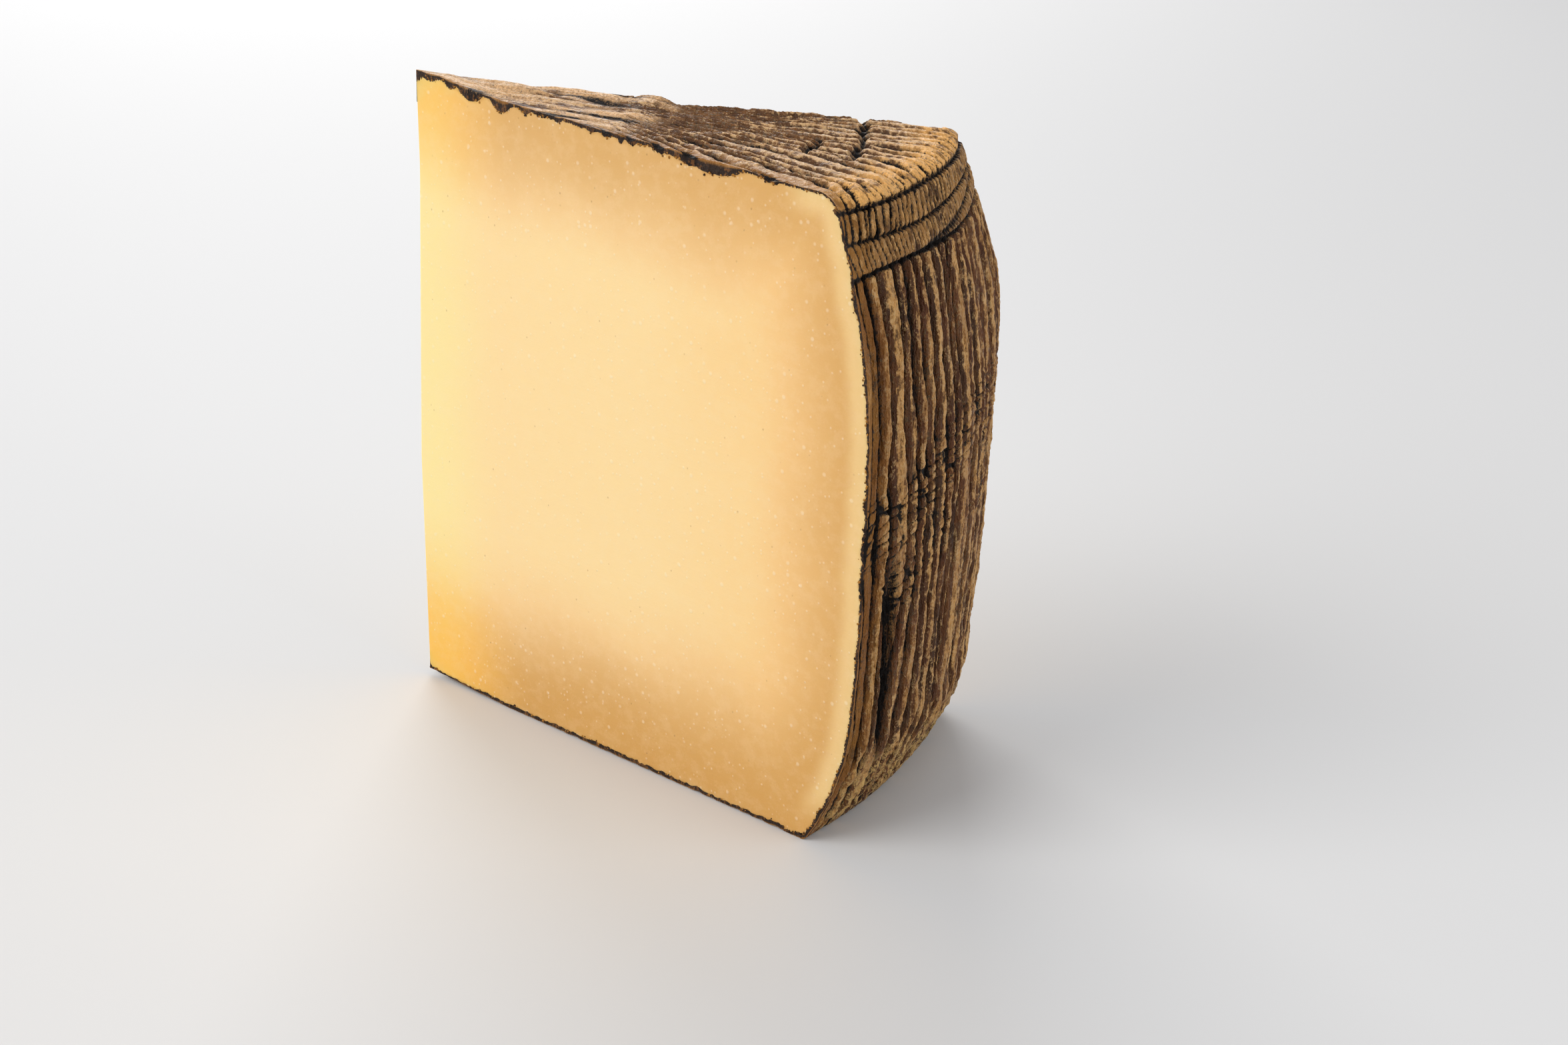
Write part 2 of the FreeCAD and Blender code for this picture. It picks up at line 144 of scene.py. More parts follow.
def on_meridian(rise, turn=0.0):
    """Distance from the tip, height and the outward normal's two parts at a turn."""
    reach, height, out_r, out_z = [np.interp(rise, MERIDIAN_RISE, column) for column in (
        MERIDIAN[:, 0], MERIDIAN[:, 1], MERIDIAN_NORMAL[:, 0], MERIDIAN_NORMAL[:, 1])]
    # the wheel is round about its own axis, but its foot is squeezed in towards the tip
    centre, foot_round = WHEEL_FOOT[:2]
    foot = centre[0] + np.sqrt(foot_round ** 2 - (np.minimum(height, FOOT_HEIGHT) - centre[1]) ** 2)
    wheel = np.where(height < FOOT_HEIGHT, foot, np.maximum(reach, RIM_REACH) - AXIS_OFFSET)
    aside = AXIS_OFFSET * np.sin(turn)
    round_reach = AXIS_OFFSET * np.cos(turn) + np.sqrt(wheel ** 2 - aside ** 2)
    shrink = np.maximum(np.maximum(reach, RIM_REACH * (height > FOOT_HEIGHT)) - round_reach, 0)
    turned_reach = reach - shrink * np.minimum(reach / RIM_REACH, 1)
    # the top is a plane that falls along the line midway between the cuts, and the fall fades
    # away down the wall
    fall = math.tan(CROWN_FALL) / math.cos(WEDGE_TURN / 2)
    drop = turned_reach * fall * np.cos(turn - WEDGE_TURN / 2) - reach * math.tan(CROWN_FALL)
    share = np.clip((height - BELLY_HEIGHT) / (CROWN_HEIGHT - SHOULDER_ROUND - BELLY_HEIGHT), 0, 1)
    return turned_reach, height - drop * share ** FALL_FADE, out_r, out_z


def rise_at(height):
    """How far up the wall a height lies, from the foot to the belly and on to the shoulder."""
    wall = (MERIDIAN_RISE > 0) & (MERIDIAN[:, 1] < CROWN_HEIGHT - SHOULDER_ROUND)
    return float(np.interp(height, MERIDIAN[wall, 1], MERIDIAN_RISE[wall]))


def sway(height):
    """How far the rear cut has come in at a height."""
    return SWAY_DEPTH * np.clip((height - SWAY_HEIGHTS[0]) / np.ptp(SWAY_HEIGHTS), 0, 1)


def full_turn(radius, height):
    """Angle from the front cut to the leaning rear cut at a radius and height."""
    return WEDGE_TURN - np.arcsin(np.clip(sway(height) / np.maximum(radius, 0.01), -1, 1))


def on_wheel(turn, rise, sunk=0.0):
    """A point of the wheel's skin and its outward direction, sunk by some millimetres."""
    reach, height, out_r, out_z = on_meridian(rise, turn)
    reach, height = reach - out_r * sunk, height - out_z * sunk
    lift = TIP_LIFT * np.clip(1 - reach / TIP_LIFT_LENGTH, 0, 1)
    height = np.maximum(height, lift)
    point = np.stack([reach * np.cos(turn), reach * np.sin(turn), height], -1)
    about_axis = np.arctan2(point[..., 1], np.maximum(point[..., 0] - AXIS_OFFSET, 1.0))
    heading = np.where(reach > REACH / 2, about_axis, turn)
    outward = np.stack([out_r * np.cos(heading), out_r * np.sin(heading), out_z + 0 * turn], -1)
    return point, outward


def ragged(places, step, seed):
    """A seeded uneven line between 0 and 1 that changes every few millimetres."""
    rng = np.random.default_rng(seed)
    marks = np.arange(*RAGGED_SPAN, step)
    return np.interp(places, marks, rng.random(len(marks)))


# three rings of binding pressed the shoulder, each sloping and wandering in its own way
RING_RISES = [rise_at(127.5), rise_at(134.0), rise_at(140.6)]
RING_SLOPES = [0.040, 0.036, 0.012]
RING_WOBBLES = [0.5, 0.4, 0.3]
RING_WAVE = 11.0
RING_SHIFT = 2.0
TOP_RING = 2


class Value:
    """A number in a node tree: sums and products of it add the Math nodes."""

    def __init__(self, tree, socket):
        self.tree = tree
        self.socket = socket

    def math(self, operation, *others):
        return self.tree.node("ShaderNodeMath", {"operation": operation}, (self, *others))

    def __add__(self, other):
        return self.math("ADD", other)

    def __sub__(self, other):
        return self.math("SUBTRACT", other)

    def __rsub__(self, other):
        return self.tree.node("ShaderNodeMath", {"operation": "SUBTRACT"}, (other, self))

    def __mul__(self, other):
        return self.math("MULTIPLY", other)

    def __truediv__(self, other):
        return self.math("DIVIDE", other)

    def __neg__(self):
        return self * -1.0

    __radd__ = __add__
    __rmul__ = __mul__

    def step(self, low, high):
        """0 below low, 1 above high and a smooth rise between them."""
        return self.tree.node("ShaderNodeMapRange", {"interpolation_type": "SMOOTHSTEP"},
                              {"Value": self, "From Min": low, "From Max": high})

    def near(self, width):
        """1 at zero and smoothly 0 at a distance of width on either side."""
        return 1 - self.math("ABSOLUTE").step(0.0, width)


class Tree:
    """A node tree whose nodes are all added by one method."""

    def __init__(self, nodes):
        self.nodes = nodes

    def node(self, kind, settings=None, inputs=(), output=0):
        """Add a node: its settings first, then the values or links of its sockets."""
        node = self.nodes.nodes.new(kind)
        for name, setting in (settings or {}).items():
            setattr(node, name, setting)
        pairs = inputs.items() if isinstance(inputs, dict) else enumerate(inputs)
        for key, value in pairs:
            if isinstance(value, Value):
                self.nodes.links.new(value.socket, node.inputs[key])
            else:
                node.inputs[key].default_value = value
        return Value(self, node.outputs[output]) if len(node.outputs) else node

    def vector(self, across, along, up):
        return self.node("ShaderNodeCombineXYZ", {}, (across, along, up))

    def noise(self, vector, scale=1.0, detail=2.0, roughness=0.5):
        return self.node("ShaderNodeTexNoise", {}, {
            "Vector": vector, "Scale": scale, "Detail": detail, "Roughness": roughness})

    def edges(self, place, randomness):
        """Distance to the nearest edge of uneven cells along a line, in cells."""
        return self.node("ShaderNodeTexVoronoi", {
            "voronoi_dimensions": "1D", "feature": "DISTANCE_TO_EDGE",
        }, {"W": place, "Scale": 1.0, "Randomness": randomness})

    def cells(self, vector, randomness):
        """Distance to the nearest edge of uneven cells on a surface, in cells."""
        return self.node("ShaderNodeTexVoronoi", {
            "voronoi_dimensions": "2D", "feature": "DISTANCE_TO_EDGE",
        }, {"Vector": vector, "Scale": 1.0, "Randomness": randomness})


class Press(Tree):
    """A geometry tree that presses a relief into a skin and marks what the shader reads."""

    def __init__(self, name, sizes):
        super().__init__(bpy.data.node_groups.new(name, "GeometryNodeTree"))
        face = self.nodes.interface
        face.new_socket("Geometry", in_out="INPUT", socket_type="NodeSocketGeometry")
        for label, amount in sizes.items():
            socket = face.new_socket(label, in_out="INPUT", socket_type="NodeSocketFloat")
            socket.default_value = amount
        face.new_socket("Geometry", in_out="OUTPUT", socket_type="NodeSocketGeometry")
        self.inlet = self.nodes.nodes.new("NodeGroupInput")
        self.sizes = sizes

    def given(self, label):
        return Value(self, self.inlet.outputs[label])

    def mark(self, name, kind="FLOAT"):
        return self.node("GeometryNodeInputNamedAttribute", {"data_type": kind}, {"Name": name})

    def ring_distance(self, turn, rise, number):
        """How far above one of the binding rings a point lies."""
        wobble = (turn / RING_WAVE + number * RING_SHIFT).math("SINE") * RING_WOBBLES[number]
        return rise - (turn * RING_SLOPES[number] + wobble + RING_RISES[number])

    def press(self, relief, marks, material):
        """Move the skin by the relief along its outward direction and store the marks."""
        push = relief * self.mark("skin") * MM
        offset = self.node("ShaderNodeVectorMath", {"operation": "SCALE"},
                           {"Vector": self.mark("outward", "FLOAT_VECTOR"), "Scale": push})
        shape = self.node("GeometryNodeSetPosition", {}, {
            "Geometry": self.given("Geometry"), "Offset": offset})
        for name, amount in marks.items():
            shape = self.node("GeometryNodeStoreNamedAttribute", {
                "data_type": "FLOAT", "domain": "POINT",
            }, {"Geometry": shape, "Name": name, "Value": amount})
        self.close(shape, material)

    def close(self, shape, material):
        """End the tree: its instances are made real and take their material."""
        shape = self.node("GeometryNodeRealizeInstances", {}, {"Geometry": shape})
        shape = self.node("GeometryNodeSetMaterial", {}, {"Geometry": shape, "Material": material})
        self.node("NodeGroupOutput", {}, {"Geometry": shape})

    def pressed(self, mesh):
        """Run the press over a mesh and give back the plain result."""
        blank = bpy.data.objects.new("blank", mesh)
        bpy.context.scene.collection.objects.link(blank)
        modifier = blank.modifiers.new("press", "NODES")
        modifier.node_group = self.nodes
        for item in self.nodes.interface.items_tree:
            if item.in_out == "INPUT" and item.name in self.sizes:
                modifier[item.identifier] = self.sizes[item.name]
        seen = blank.evaluated_get(bpy.context.evaluated_depsgraph_get())
        result = bpy.data.meshes.new_from_object(seen)
        bpy.data.objects.remove(blank)
        return result


def wall_press(material):
    """Reeds, rings, banded cells and the waling cord, as heights in millimetres."""
    tree = Press("wall press", {
        "Reed pitch": 4.5, "Reed depth": 2.2, "Thread pitch": 1.6, "Split place": 10.6,
        "Split depth": 3.4, "Far swell": 1.5, "Waling rise": rise_at(75.0), "Waling climb": 13.0,
        "Waling width": 13.0, "Strand length": 10.0, "Strand width": 2.1, "Foot rise": 21.0,
        "Foot raggedness": 26.0, "Cell pitch": 2.2, "Ring depth": 0.8, "Tuck depth": 2.6,
        "Seed": 3.0,
    })
    turn, rise, seed = tree.mark("turn"), tree.mark("rise"), tree.given("Seed")
    skin = tree.vector(turn, rise, seed)

    def patch(across, along, shift=0.0):
        """Soft noise whose patches are some millimetres wide and tall."""
        return tree.noise(tree.vector(turn / across, rise / along, seed + shift))

    # upright reeds wander, differ in width and rise to a crest on one side
    wander = (patch(16.0, 42.0) - 0.5) * 7.0 + (patch(6.0, 15.0, 9.0) - 0.5) * 1.6
    pitch = tree.given("Reed pitch")
    reed_place = (turn + wander) / pitch + seed
    reed_edge = tree.edges(reed_place, 0.8) * pitch
    reed_side = reed_place - tree.node("ShaderNodeTexVoronoi", {
        "voronoi_dimensions": "1D", "feature": "F1",
    }, {"W": reed_place, "Scale": 1.0, "Randomness": 0.8}, "W")
    gap_width = (patch(7.0, 50.0, 20.0) * 1.9 + 0.15) * (turn.step(1.0, 8.0) * 0.7 + 0.3)
    gap = 1 - (reed_edge / gap_width).step(0.25, 1.0)
    gap_depth = tree.given("Reed depth") * (patch(9.0, 45.0, 30.0) * 1.6 + 0.2)
    thread_edge = tree.edges((turn + wander * 1.1) / tree.given("Thread pitch"), 0.9)
    thread = (1 - thread_edge.step(0.0, 0.16)) * patch(10.0, 26.0, 40.0).step(0.42, 0.6)
    swell = (patch(5.0, 34.0, 15.0) - 0.5) * 1.5
    fibre = (tree.noise(tree.vector(turn / 0.85, rise / 13.0, seed), 1.0, 3.0, 0.6) - 0.5) * 0.9
    knots = (patch(3.2, 4.6, 25.0) - 0.5) * 0.8
    reeds = (reed_edge.step(0.0, 2.0) + reed_side * 0.7 - 1.2 - gap * gap_depth
             - thread * 0.45 + swell + fibre + knots)

    # one gap is wide and deep, low down near the front cut, and is painted near black as shade
    split_centre = (rise / 19.0).math("SINE") * 0.8 + tree.given("Split place")
    split = (turn - split_centre).near(2.6) * (rise - 46.0).near(32.0)
    reeds = reeds - split.step(0.05, 0.6) * tree.given("Split depth")

    # under the lowest ring the far reeds stand proud of the bands above them
    far = turn.step(62.0, 84.0) * (rise - 112.0).near(26.0)
    reeds = reeds + far * tree.given("Far swell")

    # the waling cord slants up through the middle, with oblique strands
    climb = turn.step(4.0, 48.0) * tree.given("Waling climb")
    waling = rise - tree.given("Waling rise") - climb - (patch(9.0, 9.0, 50.0) - 0.5) * 6.0
    cord = waling.near(tree.given("Waling width")).step(0.0, 0.8)
    lower = (waling + 17.0).near(tree.given("Waling width"))
    lower = lower * patch(14.0, 14.0, 60.0).step(0.40, 0.56)
    strand_place = tree.vector((turn * 0.85 + rise * 0.50) / tree.given("Strand length"),
                               (rise * 0.85 - turn * 0.50) / tree.given("Strand width"), seed)
    strand_edge = tree.cells(strand_place, 0.8)
    strand = strand_edge.step(0.0, 0.16) * 0.9 - 0.6
    weave = (cord * 0.9 + lower * 0.8).step(0.0, 1.0) * patch(6.0, 8.0, 65.0).step(0.28, 0.50)
    reeds = reeds * (1 - weave * 0.35) + strand * weave

    # the foot is blotched where the reeds ran out
    raggedness = tree.given("Foot raggedness")
    foot_line = tree.given("Foot rise") + (patch(5.0, 400.0, 70.0) - 0.5) * raggedness
    foot = 1 - (rise - foot_line).step(-5.0, 3.0)
    blotch = patch(2.6, 3.4, 80.0)
    knuckle = (rise - foot_line - 4.0).near(7.0) * 0.7
    reeds = reeds * (1 - foot * 0.72) + (blotch - 0.5) * foot * 2.2 + knuckle * (1 - gap)

    # above the lowest ring, two bands of short cells
    low, middle, high = [tree.ring_distance(turn, rise, number) for number in range(3)]
    in_bands = low.step(-0.4, 0.6)
    upper_band = middle.step(-0.3, 0.5)
    cell_pitch = tree.given("Cell pitch")
    lean = (turn - middle * 0.28 + (patch(5.0, 8.0, 90.0) - 0.5) * 3.0) / cell_pitch
    upper_edge = tree.edges(lean, 0.85) * cell_pitch
    lower_edge = tree.edges((turn + low * 0.2 + (patch(5.0, 5.0, 95.0) - 0.5) * 2.0)
                            / cell_pitch * 1.2 + 40.0, 0.6) * cell_pitch
    hole = patch(3.0, 60.0, 100.0).step(0.50, 0.66) * turn.near(60.0)
    upper_cells = upper_edge.step(0.0, 0.75) * (0.75 + hole * 1.5) - 0.95 - hole * 1.3
    lower_cells = lower_edge.step(0.0, 0.65) * 0.6 - 0.8
    bands = upper_cells * upper_band + lower_cells * (1 - upper_band) + swell * 0.4 + knots * 0.6
    relief = reeds * (1 - in_bands) + bands * in_bands

    # the rings themselves, and a branch off the lowest one
    branch = (low - (turn - 26.0) * 0.10).near(1.3) * turn.step(26.0, 32.0)
    ring = low.near(0.9) * 1.2 + middle.near(0.8) * 0.9 + high.near(0.9) + branch * 0.8
    relief = relief - ring * tree.given("Ring depth") * (turn.step(-1.0, 6.0) * 0.6 + 0.4)
    relief = relief - high.step(0.3, 1.8) * tree.given("Tuck depth")

    # pores and grain, and nothing pressed below the base
    grain = (tree.noise(skin, 0.9, 3.0, 0.6) - 0.5) * 0.7
    relief = relief + grain
    above = rise.step(-1.0, 7.0)
    relief = relief * above - (1 - above) * 0.25
    relief = relief * (turn.step(-1.0, 5.5) * 0.8 + 0.2)

    # what the shader reads: painted shade in the gaps, the split, the rings, between strands and in
    # the cell holes; crests lighter partly from wear and partly as painted highlight; the amber
    # edges and warm patches
    shade = (1 - reed_edge.step(0.0, 1.0)) * (patch(6.0, 24.0, 35.0) * 1.5 - 0.2)
    dark = (gap * gap_depth * 0.6 + shade * 0.5 + split * 1.5) * (1 - in_bands)
    dark = dark * (1 - foot * 0.5) + ring * 0.6
    dark = dark + (1 - strand_edge.step(0.0, 0.14)) * weave * 0.8
    dark = dark + in_bands * (1 - upper_edge.step(0.15, 0.7)) * upper_band * (0.6 + hole)
    dark = dark + in_bands * (1 - lower_edge.step(0.12, 0.5)) * (1 - upper_band) * 0.6
    # the crests are lighter partly from wear and partly as painted highlight on their lit side
    crest = (reed_edge / 2.0 + reed_side * 0.9 + swell * 0.4).step(0.35, 1.15) * (1 - in_bands)
    crest = crest + in_bands * (0.35 + knots * 0.5)
    tree.press(relief, {"gap": dark, "crest": crest, "foot": foot, "band": in_bands}, material)
    return tree


class Finish(Tree):
    """A material tree that ends in one Principled shader."""

    def __init__(self, name):
        self.material = bpy.data.materials.new(name)
        self.material.use_nodes = True
        super().__init__(self.material.node_tree)
        self.nodes.nodes.clear()
        self.place = self.node("ShaderNodeTexCoord", output="Object")

    def mark(self, name):
        """What a press stored under a name, or 0 where it stored nothing."""
        return self.node("ShaderNodeAttribute", {"attribute_name": name}, output="Fac")

    def scaled(self, across, along, up):
        """Object coordinates in millimetres, divided by a grain size along each axis."""
        scale = [1 / (MM * size) for size in (across, along, up)]
        return self.node("ShaderNodeVectorMath", {"operation": "MULTIPLY"}, (self.place, scale))

    def mix(self, factor, under, over):
        return self.node("ShaderNodeMix", {"data_type": "RGBA"},
                         {0: factor, 6: under, 7: over}, output=2)

    def layered(self, base, layers):
        """Lay colours over one another, each as strong as its amount."""
        for over, amount in layers:
            base = self.mix(amount, base, over)
        return base

    def bump(self, height, strength, distance):
        return self.node("ShaderNodeBump", {}, {
            "Height": height, "Strength": strength, "Distance": distance * MM})

    def shade(self, **sockets):
        """Plug the Principled shader: its sockets' names are written with underscores."""
        named = {name.replace("_", " "): value for name, value in sockets.items()}
        shader = self.node("ShaderNodeBsdfPrincipled", {}, named)
        self.node("ShaderNodeOutputMaterial", {}, {"Surface": shader})
        return self.material


def colour(red, green, blue):
    """A surface colour given as the eye's 0 to 255, made linear."""
    parts = [part / 255 for part in (red, green, blue)]
    linear = [part / 12.92 if part <= 0.04045 else ((part + 0.055) / 1.055) ** 2.4
              for part in parts]
    return (*linear, 1.0)


# The rind is brown on the flanks and tan on the crests, dusted with grey mould. The gaps and
# hollows are painted near black as shade, and the crests' tan is partly wear and partly painted
# highlight. It turns amber where it thins at the knife cuts and yellow at the rim.
RIND = {
    "dried": colour(128, 82, 36),
    "thread": colour(50, 28, 11),
    "straw": colour(216, 178, 124),
    "foot": colour(218, 178, 108),
    "rim": colour(250, 188, 106),
    "scuff": colour(234, 188, 136),
    "amber": colour(160, 106, 34),
    "far amber": colour(196, 142, 46),
    "russet": colour(112, 54, 20),
    "mould": colour(158, 142, 120),
    # painted shade: near black for the gaps and hollows
    "recess_shade": colour(14, 6, 2),
    "pore": colour(44, 24, 12),
    "dark crumb": colour(32, 17, 7),
    "light crumb": colour(112, 70, 28),
}


def rind_finish(name, flank, crest, warmth, dust, grain):
    """The rind's colours laid over one another by the marks that the press left."""
    skin = Finish(name)
    gap, high, foot, band = [skin.mark(label) for label in ("gap", "crest", "foot", "band")]
    scuff, turn, rise, cut = [skin.mark(label) for label in ("scuff", "turn", "rise", "cut")]

    def spots(across, along, up, detail):
        """Noise of a grain size, spread over the whole range from 0 to 1."""
        return skin.noise(skin.scaled(across, along, up), 1.0, detail, 0.6).step(0.34, 0.66)

    broad = spots(9, 9, 22, 3.0)
    mottle = spots(1.5, 1.5, 2.4, 3.0)
    fine = spots(0.5, 0.5, 0.6, 2.0)
    fibre = spots(*grain, 3.0)

    # the crests' lighter colour is partly wear and partly painted highlight
    worn_and_lit = high + (mottle - 0.5) * 0.55 + (0.5 - fibre) * 0.5 + (fine - 0.5) * 0.3
    straw = (mottle + fine - fibre * 0.5 + high * 0.3).step(1.1, 1.7)
    blotches = foot * (mottle * 0.7 + fine * 0.5).step(0.40, 0.80)
    warm = band * (0.3 + broad * 0.5 + mottle * 0.3).step(0.3, 0.7)
    edge = 1 - (turn + (mottle - 0.5) * 4.0).step(0.5, 9.0)
    far_edge = (turn + (mottle - 0.5) * 3.0).step(80.0, 85.5) * (1 - band)
    russet = spots(5, 5, 14, 1.0) * (1 - rise.step(128.0, 136.0))
    # painted shade in the gaps, rings, holes and hollows, darkened towards near black
    recess_shade = gap * (0.8 + mottle * 0.5) + (fine - 0.5) * 0.3 * gap.step(0.0, 0.3)
    pores = (mottle * 0.6 + broad * 0.2 + fine * 0.6 - high * 0.3).step(1.0, 1.2)
    crumbly = skin.mix((mottle * 0.6 + fine * 0.4).step(0.55, 0.85), RIND["dark crumb"],
                       RIND["light crumb"])
    base = skin.layered(skin.mix(broad, flank, RIND["dried"]), [
        (RIND["thread"], fibre * 0.6),
        (crest, worn_and_lit.step(0.28, 1.15)),
        (RIND["straw"], straw * 0.6),
        (RIND["foot"], blotches * 0.85),
        (RIND["rim"], warm * warmth),
        (RIND["scuff"], scuff * (0.5 + fine * 0.5)),
        (RIND["amber"], edge * 0.75 * (1 - gap.step(0.1, 0.7))),
        (RIND["far amber"], far_edge * (rise - 114.0).near(26.0) * 0.85),
        (RIND["russet"], russet * 0.3),
        (RIND["mould"], (broad * 0.7 + fine * 0.5).step(0.72, 1.1) * dust),
        (RIND["recess_shade"], recess_shade.step(0.06, 0.60)),
        (RIND["pore"], pores * 0.7),
        (crumbly, cut.step(0.05, 0.4) * 0.97),
    ])
    return skin.shade(
        Base_Color=base,
        Roughness=0.55 - mottle * 0.18 + gap.step(0.1, 0.8) * 0.3,
        Normal=skin.bump(fine * 0.35 + mottle * 0.8 - fibre * 0.6 - pores * 0.5, 0.8, 0.45),
        Subsurface_Weight=0.06,
        Subsurface_Radius=(1.0, 0.45, 0.2),
        Subsurface_Scale=1.2 * MM,
        Specular_IOR_Level=0.28,
    )


WALL_FINISH = rind_finish("rush-pressed wall rind", flank=colour(78, 48, 22),
                          crest=colour(212, 160, 94), warmth=0.30, dust=0.12,
                          grain=(0.7, 0.7, 9.0))


# The skin's edges stand a hair proud of the knife cuts, and its plain back lies deep behind them.
# The front cut and the rear one each have a seed for how ragged the rind looks there.
DEEP = 6.0
DEEP_INSET = 1.2
CUT_PROUD = 0.04
PROUD_SPREAD = 0.10
CUT_SEEDS = (3, 13)

# the pressed face fills its map up to UV_FACE_TOP, and the cut edges lie in rows above it
UV_MARGIN = 0.004
UV_FACE_TOP = 0.95
UV_ROWS_FROM = 0.96
UV_ROW_GAP = 0.01


def top_ring_rise(turn):
    """The rise of the ring under the rim, where the wall and the top meet."""
    wobble = np.sin(turn / RING_WAVE + TOP_RING * RING_SHIFT) * RING_WOBBLES[TOP_RING]
    return RING_RISES[TOP_RING] + RING_SLOPES[TOP_RING] * turn + wobble


def cut_thickness(rise, side):
    """How thick the rind looks at a knife cut: well under 1 mm, with thicker crumbs."""
    seed = CUT_SEEDS[side]
    thin = 0.15 + 0.35 * ragged(rise, 6.3, seed) + 0.25 * ragged(rise, 1.1, seed + 2)
    lumps = 0.8 * np.clip(ragged(rise, 2.9, seed + 1) - 0.70, 0, 1) / 0.30
    return thin + lumps


class Skin:
    """Points of the wheel's skin, with the marks that a press and a finish read."""

    def __init__(self):
        self.points, self.outward, self.turns = [], [], []
        self.rises, self.skin, self.cut = [], [], []
        self.count = 0

    def add(self, share, rise, sunk=0.0, inset=0.0, skin=1.0, cut=0.0):
        """Add points at shares of the way round from the front cut, and give their numbers."""
        share, rise = np.broadcast_arrays(np.asarray(share, float), np.asarray(rise, float))
        sunk = np.broadcast_to(sunk, rise.shape)
        radius, height, out_r, out_z = on_meridian(rise, share * WEDGE_TURN)
        radius, height = radius - out_r * sunk, height - out_z * sunk
        whole = full_turn(radius, height)
        inner = np.minimum(inset / np.maximum(radius, 0.1), whole * 0.3)
        turn = share * whole + np.where(share < 0.5, inner, -inner) * (inset > 0)
        point, outward = on_wheel(turn, rise, sunk)
        self.points.append(point.reshape(-1, 3))
        self.outward.append(outward.reshape(-1, 3))
        self.turns.append((turn * REACH).ravel())
        self.rises.append(rise.ravel())
        self.skin.append(np.full(rise.size, skin))
        self.cut.append(np.full(rise.size, cut))
        numbers = np.arange(self.count, self.count + rise.size).reshape(rise.shape)
        self.count += rise.size
        return numbers

    def mesh(self, name, faces=(), uvs=None):
        """Make the mesh with what the press and the finish read stored on its points."""
        points = np.vstack(self.points)
        mesh = marked_mesh(name, points, faces, {
            "turn": np.concatenate(self.turns), "rise": np.concatenate(self.rises),
            "skin": np.concatenate(self.skin), "cut": np.concatenate(self.cut),
            "east": points[:, 0], "north": points[:, 1]}, uvs)
        mark = mesh.attributes.new("outward", "FLOAT_VECTOR", "POINT")
        mark.data.foreach_set("vector", np.vstack(self.outward).astype(np.float32).ravel())
        return mesh


def marked_mesh(name, points, faces, marks, uvs=None):
    """A mesh of points in millimetres from the tip, with marks and a map on its points."""
    mesh = bpy.data.meshes.new(name)
    mesh.from_pydata(((points + TIP) * MM).tolist(), [], faces)
    for label, amounts in marks.items():
        mark = mesh.attributes.new(label, "FLOAT", "POINT")
        mark.data.foreach_set("value", amounts.astype(np.float32))
    if uvs is not None:
        layer = mesh.uv_layers.new(name="OFBake")
        corners = np.empty(len(mesh.loops), np.int32)
        mesh.loops.foreach_get("vertex_index", corners)
        layer.data.foreach_set("uv", uvs[corners].astype(np.float32).ravel())
    return mesh


def strip(first, second):
    """Quads between two rows of points."""
    return [[int(first[k]), int(first[k + 1]), int(second[k + 1]), int(second[k])]
            for k in range(len(first) - 1)]


def grid_faces(numbers):
    """Quads of a grid of points."""
    a, b = numbers[:-1, :-1].ravel(), numbers[1:, :-1].ravel()
    c, d = numbers[1:, 1:].ravel(), numbers[:-1, 1:].ravel()
    return np.stack([a, b, c, d], 1).tolist()


def rind_shell(name, rises, thickness, press, seed):
    """A closed piece of rind: pressed outer face, cut edges at both ends, plain back."""
    columns, rows = rises.shape
    share = np.linspace(0, 1, columns)[:, None]
    skin = Skin()
    outer = skin.add(share, rises)
    edges = []
    for side in (0, 1):
        rise = rises[-side]
        inner = skin.add(side, rise, sunk=thickness(rise, side), cut=1.0)
        deep = skin.add(side, rise, sunk=DEEP, inset=DEEP_INSET, skin=0.0, cut=1.0)
        edges.append((outer[-side], inner, deep))
    loop = [edges[0][0], edges[0][1], edges[0][2], edges[1][2], edges[1][1], edges[1][0]]
    faces = grid_faces(outer)
    for first, second in zip(loop, loop[1:]):
        faces += strip(first, second)
    for row in (0, -1):
        faces.append([int(k) for k in outer[:, row]] + [int(line[row]) for line in loop[-2:0:-1]])

    uvs = np.zeros((skin.count, 2))
    u, v = np.meshgrid(np.linspace(UV_MARGIN, 1 - UV_MARGIN, columns),
                       np.linspace(UV_MARGIN, UV_FACE_TOP, rows), indexing="ij")
    uvs[outer.ravel()] = np.stack([u.ravel(), v.ravel()], 1)
    along = np.linspace(UV_MARGIN, 1 - UV_MARGIN, rows)
    for level, line in enumerate(loop[1:-1]):
        uvs[line] = np.stack([along, np.full(rows, UV_ROWS_FROM + UV_ROW_GAP * level)], 1)

    rng = np.random.default_rng(seed)
    points = np.vstack(skin.points)
    rear_normal = np.array([-math.sin(WEDGE_TURN), math.cos(WEDGE_TURN), 0])
    for line, away in ((loop[0], (0, -1, 0)), (loop[1], (0, -1, 0)),
                       (loop[4], rear_normal), (loop[5], rear_normal)):
        proud = CUT_PROUD + PROUD_SPREAD * rng.random(rows)
        points[line] += np.asarray(away)[None, :] * proud[:, None]
    skin.points = [points]
    return finished(name, press.pressed(skin.mesh(name, faces, uvs)))


def finished(name, mesh, sharp=50):
    """Clear stray points, turn a mesh outwards, smooth it between sharp edges and show it."""
    work = bmesh.new()
    work.from_mesh(mesh)
    bmesh.ops.delete(work, geom=[point for point in work.verts if not point.link_faces])
    bmesh.ops.recalc_face_normals(work, faces=work.faces)
    work.to_mesh(mesh)
    work.free()
    mesh.polygons.foreach_set("use_smooth", [True] * len(mesh.polygons))
    mesh.set_sharp_from_angle(angle=math.radians(sharp))
    piece = bpy.data.objects.new(name, mesh)
    bpy.context.scene.collection.objects.link(piece)
    return piece


